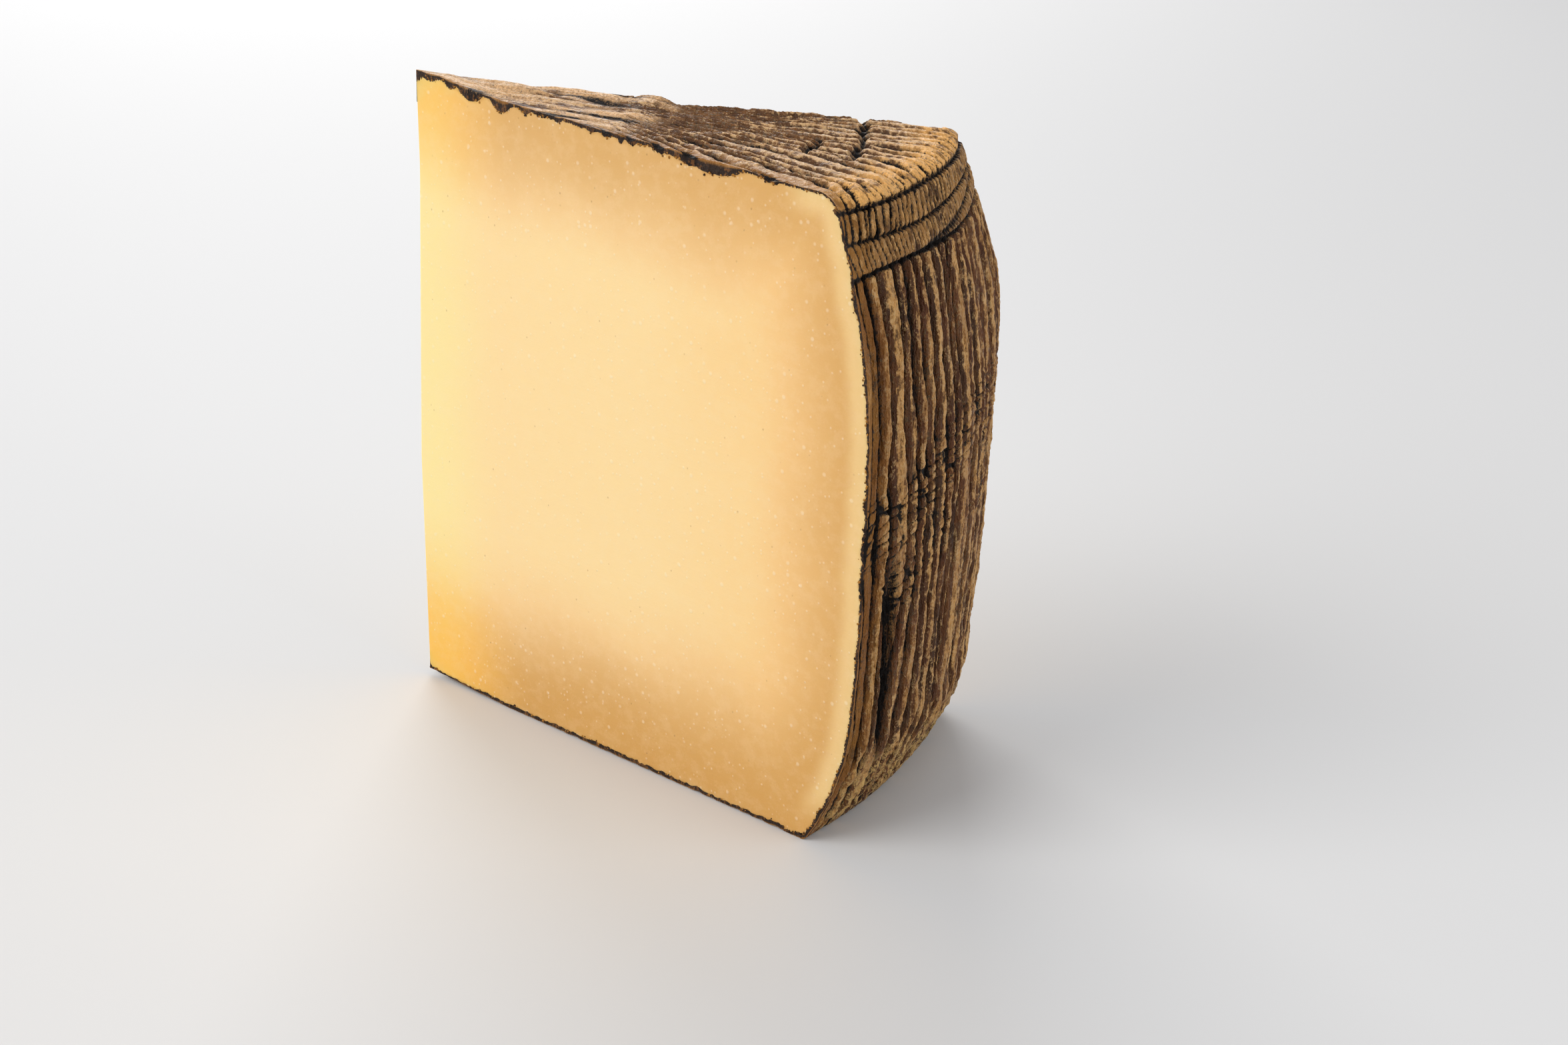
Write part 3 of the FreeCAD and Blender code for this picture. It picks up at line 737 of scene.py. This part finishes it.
# points round and up the wall, which starts under the foot and tucks in under the rim
WALL_GRID = (236, 400)
WALL_START = -6.0
WALL_TUCK = 1.6
WALL_PRESS = wall_press(WALL_FINISH)

wall_turns = np.linspace(0, WEDGE_TURN * REACH, WALL_GRID[0])[:, None]
wall_rows = np.linspace(0, 1, WALL_GRID[1])[None, :]
wall_rises = WALL_START + (top_ring_rise(wall_turns) + WALL_TUCK - WALL_START) * wall_rows
wall = rind_shell("rind_wall", wall_rises, cut_thickness, WALL_PRESS, seed=9)
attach(wall, "root")
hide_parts("cheese_wedge")


# ---------------------------------------------------------------- the rind's top
# The top of the wheel, from the ring under the rim to the wedge's tip. Its smooth yellow rim
# turns over the shoulder, spokes score the outer half, and the middle is rubbed and flaked.
# Along the front cut, dark lumps of rind hang down into the paste.

# where the spokes meet, and which way the rubbed middle's flakes run
HUB = (35.0, 13.9)
FLAKE_TURN = 0.45
TOP_FINISH = rind_finish("rush-pressed top rind", flank=colour(112, 74, 42),
                         crest=colour(216, 172, 122), warmth=0.95, dust=0.25,
                         grain=(3.0, 1.0, 2.0))


def top_press(material):
    """Spokes that fan from a hub, two cross cords, a scuffed middle and a raised rear lip."""
    tree = Press("top press", {
        "Spoke angle": 3.1, "Spoke depth": 1.9, "Rim radius": 110.0, "Cord width": 1.7,
        "Cord depth": 1.5, "Lip height": 0.8, "Nick pitch": 3.4, "Nick depth": 0.8,
        "Tip height": 1.5, "Seed": 5.0,
    })
    turn, rise, seed = tree.mark("turn"), tree.mark("rise"), tree.given("Seed")
    east, north = tree.mark("east"), tree.mark("north")
    from_axis = east - AXIS_OFFSET
    radius = (from_axis * from_axis + north * north).math("SQRT")
    skin = tree.vector(east, north, seed)

    def patch(size, shift=0.0, stretch=1.0):
        """Soft noise in patches some millimetres wide, stretched along the flakes."""
        along = east * math.cos(FLAKE_TURN) + north * math.sin(FLAKE_TURN)
        across = north * math.cos(FLAKE_TURN) - east * math.sin(FLAKE_TURN)
        return tree.noise(tree.vector(along / (size * stretch), across / size, seed + shift))

    # spokes fan out from the hub and wander a little
    wander = (patch(18.0, 0.0, 2.0) - 0.5) * 7.0 + (patch(6.0, 9.0, 1.5) - 0.5) * 2.2
    from_hub_x, from_hub_y = east - HUB[0], north - HUB[1]
    reach = (from_hub_x * from_hub_x + from_hub_y * from_hub_y).math("SQRT")
    heading = from_hub_y.math("ARCTAN2", from_hub_x) * math.degrees(1)
    angle = tree.given("Spoke angle")
    spoke_place = (heading + wander) / angle + seed
    spoke_edge = tree.edges(spoke_place, 0.55) * angle * reach * math.radians(1)
    gap_width = (patch(9.0, 20.0, 2.5) * 1.9 + 0.15) * (reach.step(12.0, 60.0) * 0.85 + 0.15)
    gap = 1 - (spoke_edge / gap_width).step(0.3, 1.0)
    start = radius + (patch(7.0, 30.0) - 0.5) * 26.0
    stop = radius + (patch(4.0, 35.0) - 0.5) * 16.0
    spoked = start.step(38.0, 52.0) * (1 - (stop - tree.given("Rim radius")).step(-3.0, 1.0))
    depth = tree.given("Spoke depth") * (patch(10.0, 40.0, 2.0) * 1.4 + 0.3)
    swell = (patch(5.0, 42.0, 3.0) - 0.5) * 1.6
    spokes = (spoke_edge.step(0.0, 1.7) * 1.2 - 1.2 - gap * depth + swell) * spoked

    # cords that crossed the spokes left short rings, one after the other
    def cross_cord(middle, drift, first, last):
        """A cord at a distance from the axis, between two bearings in degrees."""
        bearing = north.math("ARCTAN2", from_axis) * math.degrees(1)
        line = radius - middle - (bearing - first) * drift + (patch(5.0, 50.0) - 0.5) * 5.0
        starts, stops = bearing.step(first, first + 2.0), bearing.step(last - 2.0, last)
        return line.near(tree.given("Cord width")) * starts * (1 - stops)

    crossed = cross_cord(96.5, -0.25, 14.0, 44.0) + cross_cord(86.0, -0.2, 14.0, 26.0)

    # the middle is scuffed, with long flakes, and the rear lip stands up to a torn step
    flake = patch(4.2, 60.0, 7.0)
    middle = 1 - start.step(36.0, 54.0)
    flakes = ((flake - 0.5) * 5.0 + (patch(1.7, 65.0, 9.0) - 0.5) * 2.2) * middle * 0.6
    rear = north * math.cos(WEDGE_TURN) - east * math.sin(WEDGE_TURN)
    along = east * math.cos(WEDGE_TURN) + north * math.sin(WEDGE_TURN)
    lip_edge = rear + (patch(7.0, 70.0) - 0.5) * 5.0
    torn = along + (patch(3.0, 75.0) - 0.5) * 4.0
    lip = lip_edge.step(-11.0, -7.0) * (1 - torn.step(60.0, 64.0)) * torn.step(6.0, 22.0)

    # the rim is smooth, nicked where it meets the top ring
    ring = tree.ring_distance(turn, rise, TOP_RING)
    nick_pitch = tree.given("Nick pitch")
    nick_edge = tree.edges((turn + (patch(4.0, 80.0) - 0.5) * 4.0) / nick_pitch, 0.9) * nick_pitch
    nick = (1 - nick_edge.step(0.1, 0.8)) * ring.near(8.0) * patch(5.0, 85.0).step(0.34, 0.50)
    groove = ring.near(1.2)
    grain = (tree.noise(skin, 1.1, 3.0, 0.6) - 0.5) * (0.3 + spoked * 0.4)
    soft = (patch(11.0, 90.0) - 0.5) * 1.3 - middle * 0.6
    cord_depth = tree.given("Cord depth")
    relief = spokes + flakes + lip * tree.given("Lip height") - crossed * cord_depth * spoked
    relief = relief + grain + soft - nick * tree.given("Nick depth") - groove
    relief = relief * (north.step(-1.0, 5.0) * 0.8 + 0.2)
    relief = relief + (1 - along.step(6.0, 30.0)) * tree.given("Tip height")

    # what the shader reads: painted shade in the gaps, cords, grooves, nicks and flake hollows;
    # crests lighter partly from wear and partly as painted highlight; the yellow rim and the pale
    # rubbed middle
    shade = (1 - spoke_edge.step(0.0, 0.9)) * (patch(7.0, 44.0, 2.0) * 1.6 - 0.2)
    shade = shade * reach.step(25.0, 60.0)
    dark = (gap * depth * 0.8 + shade * 0.7) * spoked + crossed * spoked * 0.6
    dark = dark + groove * 0.7 + nick * 0.8
    hollow = 1 - flake.step(0.36, 0.47)
    dark = dark + hollow * middle * 0.6
    # spoke crests and flake tops are lighter partly from wear and partly as painted highlight
    crest = (spoke_edge / 1.8 + swell * 0.3).step(0.3, 1.0) * spoked
    crest = crest + middle * flake.step(0.42, 0.58)
    rim = (stop - tree.given("Rim radius")).step(-13.0, 0.0)
    pale = middle * patch(9.0, 95.0, 1.8).step(0.40, 0.54)
    tree.press(relief, {"gap": dark, "crest": crest, "band": rim, "scuff": pale}, material)
    return tree


TOP_GRID = (232, 402)
TIP_BLUNT = 0.8
TOP_PRESS = top_press(TOP_FINISH)
# distance from the tip, width and depth of the dark lumps in the front cut
LUMPS = [(10.0, 5.0, 1.2), (16.5, 4.5, 1.5), (23.0, 8.5, 2.3), (33.5, 7.0, 2.4), (41.5, 4.6, 1.3),
         (52.0, 3.0, 0.9), (62.5, 2.6, 0.9), (71.5, 2.0, 1.7), (77.0, 6.0, 0.8), (84.0, 5.0, 0.7)]
BLACK_PATCH = [(92.5, 20.0, 1.5), (99.0, 15.0, 2.6)]
LUMP_ROUNDNESS = 0.7
RIM_PALE_FROM = 107.0
RIM_THINNING = 0.3


def tip_rise():
    """The rise where the top's skin reaches the blunt tip."""
    tip_radius = SWAY_DEPTH / math.sin(WEDGE_TURN) + TIP_BLUNT
    top = MERIDIAN_RISE > rise_at(BELLY_HEIGHT)
    return float(np.interp(-tip_radius, -MERIDIAN[top, 0], MERIDIAN_RISE[top]))


def top_thickness(rise, side):
    """The rind's thickness at a cut across the top: thin, with hanging lumps at the front."""
    seed = CUT_SEEDS[side]
    radius = on_meridian(rise)[0]
    thick = 0.15 + 0.35 * ragged(rise, 2.1, seed) + 0.2 * ragged(rise, 0.9, seed + 3)
    if side == 0:
        thick = thick * np.where(radius > RIM_PALE_FROM, RIM_THINNING, 1.0)
        for place, width, depth in LUMPS + BLACK_PATCH:
            reach = np.clip(1 - (2 * (radius - place) / width) ** 2, 0, 1) ** LUMP_ROUNDNESS
            rough = 0.92 + 0.16 * ragged(rise, 1.6, seed + 5)
            thick = np.maximum(thick, reach * depth * rough)
    else:
        thick += 2.4 * np.clip(ragged(rise, 4.5, seed + 2) - 0.55, 0, 1)
    return thick


top_rows = np.linspace(0, 1, TOP_GRID[1])[None, :]
top_turns = np.linspace(0, WEDGE_TURN * REACH, TOP_GRID[0])[:, None]
top_start = top_ring_rise(top_turns)
top_rises = top_start + (tip_rise() - top_start) * top_rows
top = rind_shell("rind_top", top_rises, top_thickness, TOP_PRESS, seed=8)
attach(top, "root")
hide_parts("cheese_wedge")


# ---------------------------------------------------------------- the rind's underside
# The flat base, faintly scored by the spokes of the basket's floor, with a dark crumbling line
# where the knife went through it.

BASE_GRID = (90, 150)


def base_press(material):
    """Shallow spoke marks that only ever cut into the base, so that it still stands flat."""
    tree = Press("base press", {"Spoke angle": 3.1, "Seed": 8.0})
    east, north, seed = tree.mark("east"), tree.mark("north"), tree.given("Seed")
    spot = tree.noise(tree.vector(east / 4.0, north / 4.0, seed))
    heading = north.math("ARCTAN2", east) * math.degrees(1)
    edge = tree.edges((heading + (spot - 0.5) * 2.0) / tree.given("Spoke angle"), 0.6)
    radius = (east * east + north * north).math("SQRT")
    gap = (1 - edge.step(0.05, 0.3)) * radius.step(30.0, 55.0)
    relief = -(gap * 0.7 + spot.step(0.5, 0.8) * 0.5 + 0.12)
    # the spoke marks are darkened as painted shade
    tree.press(relief, {"gap": gap * 0.5, "crest": spot, "foot": spot}, material)
    return tree


def base_thickness(rise, side):
    """A dark line under the paste, thicker in crumbs."""
    seed = CUT_SEEDS[side]
    crumbs = 0.8 * np.clip(ragged(rise, 5.0, seed + 4) - 0.5, 0, 1)
    return 0.30 + 0.35 * ragged(rise, 2.3, seed) + crumbs


BASE_PRESS = base_press(WALL_FINISH)
base_rises = np.linspace(TIP_BLUNT + SQUEEZE_INSET - REACH, WALL_START, BASE_GRID[1])[None, :]
base_rises = np.repeat(base_rises, BASE_GRID[0], axis=0)
base = rind_shell("rind_base", base_rises, base_thickness, BASE_PRESS, seed=9)
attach(base, "root")
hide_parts("cheese_wedge")


# ---------------------------------------------------------------- the paste
# One solid block of firm, faintly translucent paste, knife-cut on both sides and dotted with
# small white crystals. It is peach in the middle and pale in a narrow border along the wall. Its
# bright yellow at the thin tip is a painted glow of light coming through, it darkens towards the
# wall as painted shade, and the amber near the rind and the base is partly its own colour and
# partly painted shade.

# the paste reaches a little into the rind, and each cut is filled with points this far apart
PASTE_OVERLAP = 0.15
PASTE_SPACING = 1.5
PASTE_JITTER = 0.3
PASTE_SEED = 5
INSIDE_ONLY = 1
TIP_STEPS = 64
TIP_TOP_GAP = 1.5
TIP_FOOT_GAP = 0.8
# the wall's last rows tuck in under the rim, so the paste leaves them out
TUCKED_ROWS = 8
# the two cuts lie side by side on the map, with the hidden back in rows above them
UV_CUT_SIZE = (0.49, 0.93)
UV_CUT_SHIFT = 0.5
UV_BACK_GAP = 0.015

PASTE = {
    "middle": colour(255, 218, 158),
    # painted shade: darker and warmer towards the wall
    "far": colour(252, 206, 138),
    # painted glow of light through the thin tip
    "tip": colour(255, 228, 158),
    # partly the paste's own amber near the rind and base, partly painted shade
    "amber": colour(212, 160, 84),
    # painted glow: the amber brightens near the thin tip
    "tip amber": colour(252, 192, 80),
    "border": colour(244, 210, 146),
    "curd": colour(255, 226, 180),
    "rind stain": colour(196, 138, 60),
    "crystal": colour(255, 238, 208),
    "pit": colour(150, 104, 50),
}


def specks(paste, size, share, seed=0.0):
    """Round specks of a size in millimetres, kept in a share of their cells."""
    shifted = paste.node("ShaderNodeVectorMath", {"operation": "ADD"},
                         (paste.scaled(size, size, size), (seed, seed * 2.0, seed)))
    cell, chance = [paste.node("ShaderNodeTexVoronoi", {"feature": "F1"}, {
        "Vector": shifted, "Scale": 1.0}, output) for output in ("Distance", "Color")]
    lot = paste.node("ShaderNodeSeparateColor", {}, {"Color": chance}, "Red")
    return (1 - cell.step(0.12, 0.34)) * (1 - lot.step(share, share + 0.02))


def paste_finish():
    """Paste colours by how far a point lies from the tip, the base and the rind, with painted glow
    and shade.
    """
    paste = Finish("aged pecorino paste")
    reach, height, depth = paste.mark("reach"), paste.mark("height"), paste.mark("depth")
    cloud = paste.noise(paste.scaled(26, 26, 20), detail=0.5)
    curd = paste.noise(paste.scaled(3.2, 3.2, 2.6), detail=4.0, roughness=0.6)
    fine = paste.noise(paste.scaled(0.5, 0.5, 0.5))
    streaks = paste.noise(paste.scaled(14, 14, 0.9))

    # painted shade: the cut gets darker and warmer towards the wall
    far = (reach + (cloud - 0.5) * 30.0).step(70.0, 142.0)
    # painted glow where light comes through the thin tip
    tip = 1 - (reach + (cloud - 0.5) * 6.0).step(2.0, 32.0)
    # amber near the base and under the rind: partly the paste's own colour, partly painted shade
    low = 1 - (height + (cloud - 0.5) * 10.0).step(2.0, 48.0)
    under = 1 - (depth + (cloud - 0.5) * 7.0).step(1.0, 33.0)
    by_wall = reach.step(116.0, 126.0) * height.step(3.0, 14.0)
    border = (1 - (depth + (curd - 0.5) * 3.0).step(2.5, 7.0)) * by_wall
    rind_stain = 1 - (depth + (curd - 0.5) * 1.2).step(0.1, 1.1)
    crystals = specks(paste, 1.1, 0.16) + specks(paste, 1.9, 0.12, 7.0)
    pits = specks(paste, 1.0, 0.0003, 13.0)
    # near the tip the amber brightens as painted glow
    amber = paste.mix(1 - reach.step(6.0, 40.0), PASTE["amber"], PASTE["tip amber"])
    base = paste.layered(paste.mix(far, PASTE["middle"], PASTE["far"]), [
        (PASTE["tip"], tip * 0.95),
        (amber, low * 0.82),
        (amber, under * 0.82),
        (PASTE["border"], border * 0.70),
        (PASTE["curd"], (curd + fine * 0.3).step(0.55, 0.85) * 0.12),
        (PASTE["rind stain"], rind_stain * 0.6),
        (PASTE["crystal"], crystals * 0.30),
        (PASTE["pit"], pits * 0.35),
    ])
    relief = curd * 0.7 + fine * 0.25 + streaks * 0.3 + crystals * 0.5 - pits
    return paste.shade(
        Base_Color=base,
        Roughness=0.36 + curd * 0.18,
        Normal=paste.bump(relief, 0.30, 0.30),
        Subsurface_Weight=0.5,
        Subsurface_Radius=(1.0, 1.0, 0.9),
        Subsurface_Scale=0.5 * MM,
        IOR=1.45,
        Specular_IOR_Level=0.45,
    )


def cut_outline(side):
    """Where the skin meets a knife cut: pressed points just inside the rind, and deep ones."""
    parts, deeps = [], []
    spans = [
        (base_rises[side], base_thickness, BASE_PRESS),
        (wall_rises[-side][:-TUCKED_ROWS], cut_thickness, WALL_PRESS),
        (top_rises[-side][1:], top_thickness, TOP_PRESS),
    ]
    for rises, thickness, press in spans:
        line = Skin()
        line.add(side, rises, sunk=thickness(rises, side) - PASTE_OVERLAP)
        pressed = press.pressed(line.mesh("outline"))
        places = np.empty(3 * len(pressed.vertices))
        pressed.vertices.foreach_get("co", places)
        parts.append(places.reshape(-1, 3) / MM - TIP)
        deep = Skin()
        deep.add(side, rises, sunk=DEEP, inset=DEEP_INSET)
        deeps.append(deep.points[0])
    return np.vstack(parts), np.vstack(deeps)


def tip_line(side):
    """The blunt edge where the two cuts meet, from the top down."""
    heights = np.linspace(CROWN_HEIGHT - TIP_TOP_GAP, TIP_LIFT + TIP_FOOT_GAP, TIP_STEPS)
    radius = sway(heights) / math.sin(WEDGE_TURN) + TIP_BLUNT
    turn = full_turn(radius, heights) * side
    return np.stack([radius * np.cos(turn), radius * np.sin(turn), heights], 1)


def unrolled(points):
    """Distance from the tip and height of points on a knife cut."""
    return np.stack([np.hypot(points[:, 0], points[:, 1]), points[:, 2]], 1)


def nearest(points, others, batch=200):
    """Distance from each point to the nearest of the others."""
    found = np.full(len(points), np.inf)
    for first in range(0, len(others), batch):
        gaps = points[:, None, :] - others[None, first:first + batch, :]
        found = np.minimum(found, np.sqrt((gaps ** 2).sum(2)).min(1))
    return found


def fill_cut(loop, side):
    """Fill a knife cut's outline with triangles, about a millimetre or two across."""
    flat = unrolled(loop)
    across = np.arange(PASTE_SPACING, REACH, PASTE_SPACING)
    up = np.arange(PASTE_SPACING, CROWN_HEIGHT, PASTE_SPACING)
    inner = np.stack(np.meshgrid(across, up, indexing="ij"), -1).reshape(-1, 2)
    inner += np.random.default_rng(PASTE_SEED).uniform(-PASTE_JITTER, PASTE_JITTER, inner.shape)
    clear = nearest(inner, flat) > PASTE_SPACING * 0.5
    places = [Vector(place) for place in np.vstack([flat, inner[clear]])]
    rim = list(range(len(flat)))
    found = delaunay_2d_cdt(places, [], [rim], INSIDE_ONLY, 1e-6)
    points = np.array([tuple(place) for place in found[0]])
    turn = full_turn(points[:, 0], points[:, 1]) * side
    solid = np.stack([points[:, 0] * np.cos(turn), points[:, 0] * np.sin(turn), points[:, 1]], 1)
    number_of = {old: new for new, olds in enumerate(found[3]) for old in olds}
    return solid, points, [list(face) for face in found[2]], [number_of[k] for k in rim]


def make_paste():
    """Fill both cuts, then close the body behind the rind and down the tip."""
    points, faces, uvs, depths, flats, rims, behind = [], [], [], [], [], [], []
    count = 0
    for side, (outline, deep) in enumerate(CUTS):
        solid, flat, triangles, rim = fill_cut(np.vstack([outline, tip_line(side)]), side)
        points.append(solid)
        depths.append(nearest(flat, unrolled(outline)))
        flats.append(flat)
        faces += [[k + count for k in face] for face in triangles]
        rims.append([k + count for k in rim])
        share = flat / (REACH, CROWN_HEIGHT) * UV_CUT_SIZE
        uvs.append(UV_MARGIN + share + (UV_CUT_SHIFT * side, 0.0))
        count += len(solid)
    skin_count = len(CUTS[0][1])
    for side, (_, deep) in enumerate(CUTS):
        points.append(deep)
        depths.append(np.full(skin_count, DEEP))
        flats.append(unrolled(deep))
        behind.append(list(range(count, count + skin_count)))
        uvs.append(np.stack([np.linspace(UV_MARGIN, 1 - UV_MARGIN, skin_count),
                             np.full(skin_count, UV_ROWS_FROM + UV_BACK_GAP * side)], 1))
        count += skin_count
    front, rear = rims
    faces += strip(front[:skin_count], behind[0])
    faces += strip(behind[0], behind[1])
    faces += strip(behind[1], rear[:skin_count])
    faces += strip(front[skin_count - 1:] + front[:1], rear[skin_count - 1:] + rear[:1])
    for k in (0, skin_count - 1):
        faces.append([front[k], behind[0][k], behind[1][k], rear[k]])

    flat = np.vstack(flats)
    mesh = marked_mesh("paste", np.vstack(points), faces, {
        "reach": flat[:, 0], "height": flat[:, 1], "depth": np.concatenate(depths)},
        np.vstack(uvs))
    mesh.materials.append(paste_finish())
    return finished("cheese_paste", mesh, sharp=35)


CUTS = [cut_outline(0), cut_outline(1)]

paste = make_paste()
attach(paste, "root")
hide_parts("cheese_wedge")


# ---------------------------------------------------------------- crumbs of rind
# The knife dragged granules of rind along the edges of both cuts: small, dark, angular bits
# that sit half sunk in the paste beside the rind, some of them amber.

CRUMB_START = 0.15
CRUMB_SPREAD = 0.35
CRUMB_LOWEST = 0.7
CRUMB_SEED = 31
CUT_MIDDLE = np.array([70.0, 75.0])


def crumb_places(side):
    """Places just inside the rind along a knife cut, in millimetres from the tip."""
    outline = CUTS[side][0]
    rng = np.random.default_rng(CRUMB_SEED + side)
    flat = unrolled(outline)
    inwards = CUT_MIDDLE - flat
    inwards /= np.linalg.norm(inwards, axis=1, keepdims=True)
    inwards *= CRUMB_START + np.abs(rng.normal(0, CRUMB_SPREAD, (len(outline), 1)))
    share = 1 + inwards[:, 0] / np.maximum(flat[:, 0], 1.0)
    height = np.maximum(outline[:, 2] + inwards[:, 1], CRUMB_LOWEST)
    return np.stack([outline[:, 0] * share, outline[:, 1] * share, height], 1)


def crumb_finish():
    """Dark rind with amber bits, a little glossy."""
    crumb = Finish("rind crumbs")
    lot = crumb.noise(crumb.scaled(1.2, 1.2, 1.2), detail=1.0).step(0.40, 0.56)
    return crumb.shade(Base_Color=crumb.mix(lot, colour(44, 24, 10), colour(172, 118, 44)),
                       Roughness=0.5, Specular_IOR_Level=0.3)


def scatter_crumbs(places, material):
    """Set an angular granule on a share of the places, each turned and sized by chance."""
    tree = Press("crumbs", {
        "Share": 0.38, "Smallest": 0.08, "Largest": 0.36, "Flattest": 0.6, "Tallest": 1.4,
        "Seed": 11.0,
    })

    def chance(kind, output, draw, inputs):
        """A random value, each draw with its own seed."""
        return tree.node("FunctionNodeRandomValue", {"data_type": kind},
                         {**inputs, 8: tree.given("Seed") + draw}, output)

    granule = tree.node("GeometryNodeMeshIcoSphere", {}, {"Radius": MM, "Subdivisions": 1})
    chosen = chance("BOOLEAN", 3, 0.0, {6: tree.given("Share")})
    turned = chance("FLOAT_VECTOR", 0, 1.0, {0: (0.0, 0.0, 0.0), 1: (6.3, 6.3, 6.3)})
    wide = chance("FLOAT", 1, 2.0, {2: tree.given("Smallest"), 3: tree.given("Largest")})
    tall = wide * chance("FLOAT", 1, 3.0, {2: tree.given("Flattest"), 3: tree.given("Tallest")})
    points = tree.node("GeometryNodeMeshToPoints", {}, {
        "Mesh": tree.given("Geometry"), "Selection": chosen})
    shape = tree.node("GeometryNodeInstanceOnPoints", {}, {
        "Points": points, "Instance": granule, "Rotation": turned,
        "Scale": tree.vector(wide, wide, tall)})
    tree.close(shape, material)
    return tree.pressed(marked_mesh("crumb places", places, [], {}))


crumb_spots = np.vstack([crumb_places(0), crumb_places(1)])
crumbs = finished("rind_crumbs", scatter_crumbs(crumb_spots, crumb_finish()), sharp=30)
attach(crumbs, "root")
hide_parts("cheese_wedge")


# ---------------------------------------------------------------- floor, light and camera
# A plain pale floor, one big soft light from the left, a soft fill from the right and a light
# from behind that shows how the thin tip lets light through, helped by a glow painted into the
# paste at the tip.

WEDGE_MIDDLE = Vector((0.0, 0.0, 0.07))


def area_light(name, place, size, power):
    """A square soft light that faces the middle of the wedge."""
    lamp = bpy.data.lights.new(name, "AREA")
    lamp.size = size
    lamp.energy = power
    holder = bpy.data.objects.new(name, lamp)
    holder.location = Vector(place)
    aim = (WEDGE_MIDDLE - Vector(place)).to_track_quat("-Z", "Y")
    holder.rotation_euler = aim.to_euler()
    bpy.context.scene.collection.objects.link(holder)


FLOOR_SIZE = 8.0
floor_mesh = bpy.data.meshes.new("floor")
corner = FLOOR_SIZE / 2
floor_mesh.from_pydata([(-corner, -corner, 0), (corner, -corner, 0), (corner, corner, 0),
                        (-corner, corner, 0)], [], [(0, 1, 2, 3)])
floor = bpy.data.objects.new("floor", floor_mesh)
bpy.context.scene.collection.objects.link(floor)
floor_mesh.materials.append(
    Finish("pale floor").shade(Base_Color=(0.68, 0.675, 0.665, 1.0), Roughness=0.65))

area_light("key", (-0.7, -1.9, 1.5), size=1.8, power=38.5)
area_light("fill", (0.95, 0.25, 0.65), size=0.8, power=3.2)
area_light("back", (-1.5, 1.1, 1.1), size=1.2, power=20.0)

world = bpy.data.worlds.new("studio")
world.use_nodes = True
sky = world.node_tree.nodes["Background"]
sky.inputs["Color"].default_value = (0.95, 0.96, 1.0, 1.0)
sky.inputs["Strength"].default_value = 0.50
bpy.context.scene.world = world
bpy.context.scene.view_settings.view_transform = "Standard"

# the eye's place in millimetres from the tip, and where it looks
EYE = np.array([424.18, -340.51, 246.01])
HEADING = math.radians(131.82)
PITCH = math.radians(-20.82)
ROLL = math.radians(0.96)
lens = bpy.data.cameras.new("camera")
lens.sensor_width = 36.0
lens.lens = 53.57
camera = bpy.data.objects.new("camera", lens)
turned = Matrix.Rotation(HEADING - math.pi / 2, 4, "Z") @ Matrix.Rotation(
    math.pi / 2 + PITCH, 4, "X") @ Matrix.Rotation(ROLL, 4, "Z")
camera.matrix_world = Matrix.Translation(Vector((EYE + TIP) * MM)) @ turned
bpy.context.scene.collection.objects.link(camera)
bpy.context.scene.camera = camera
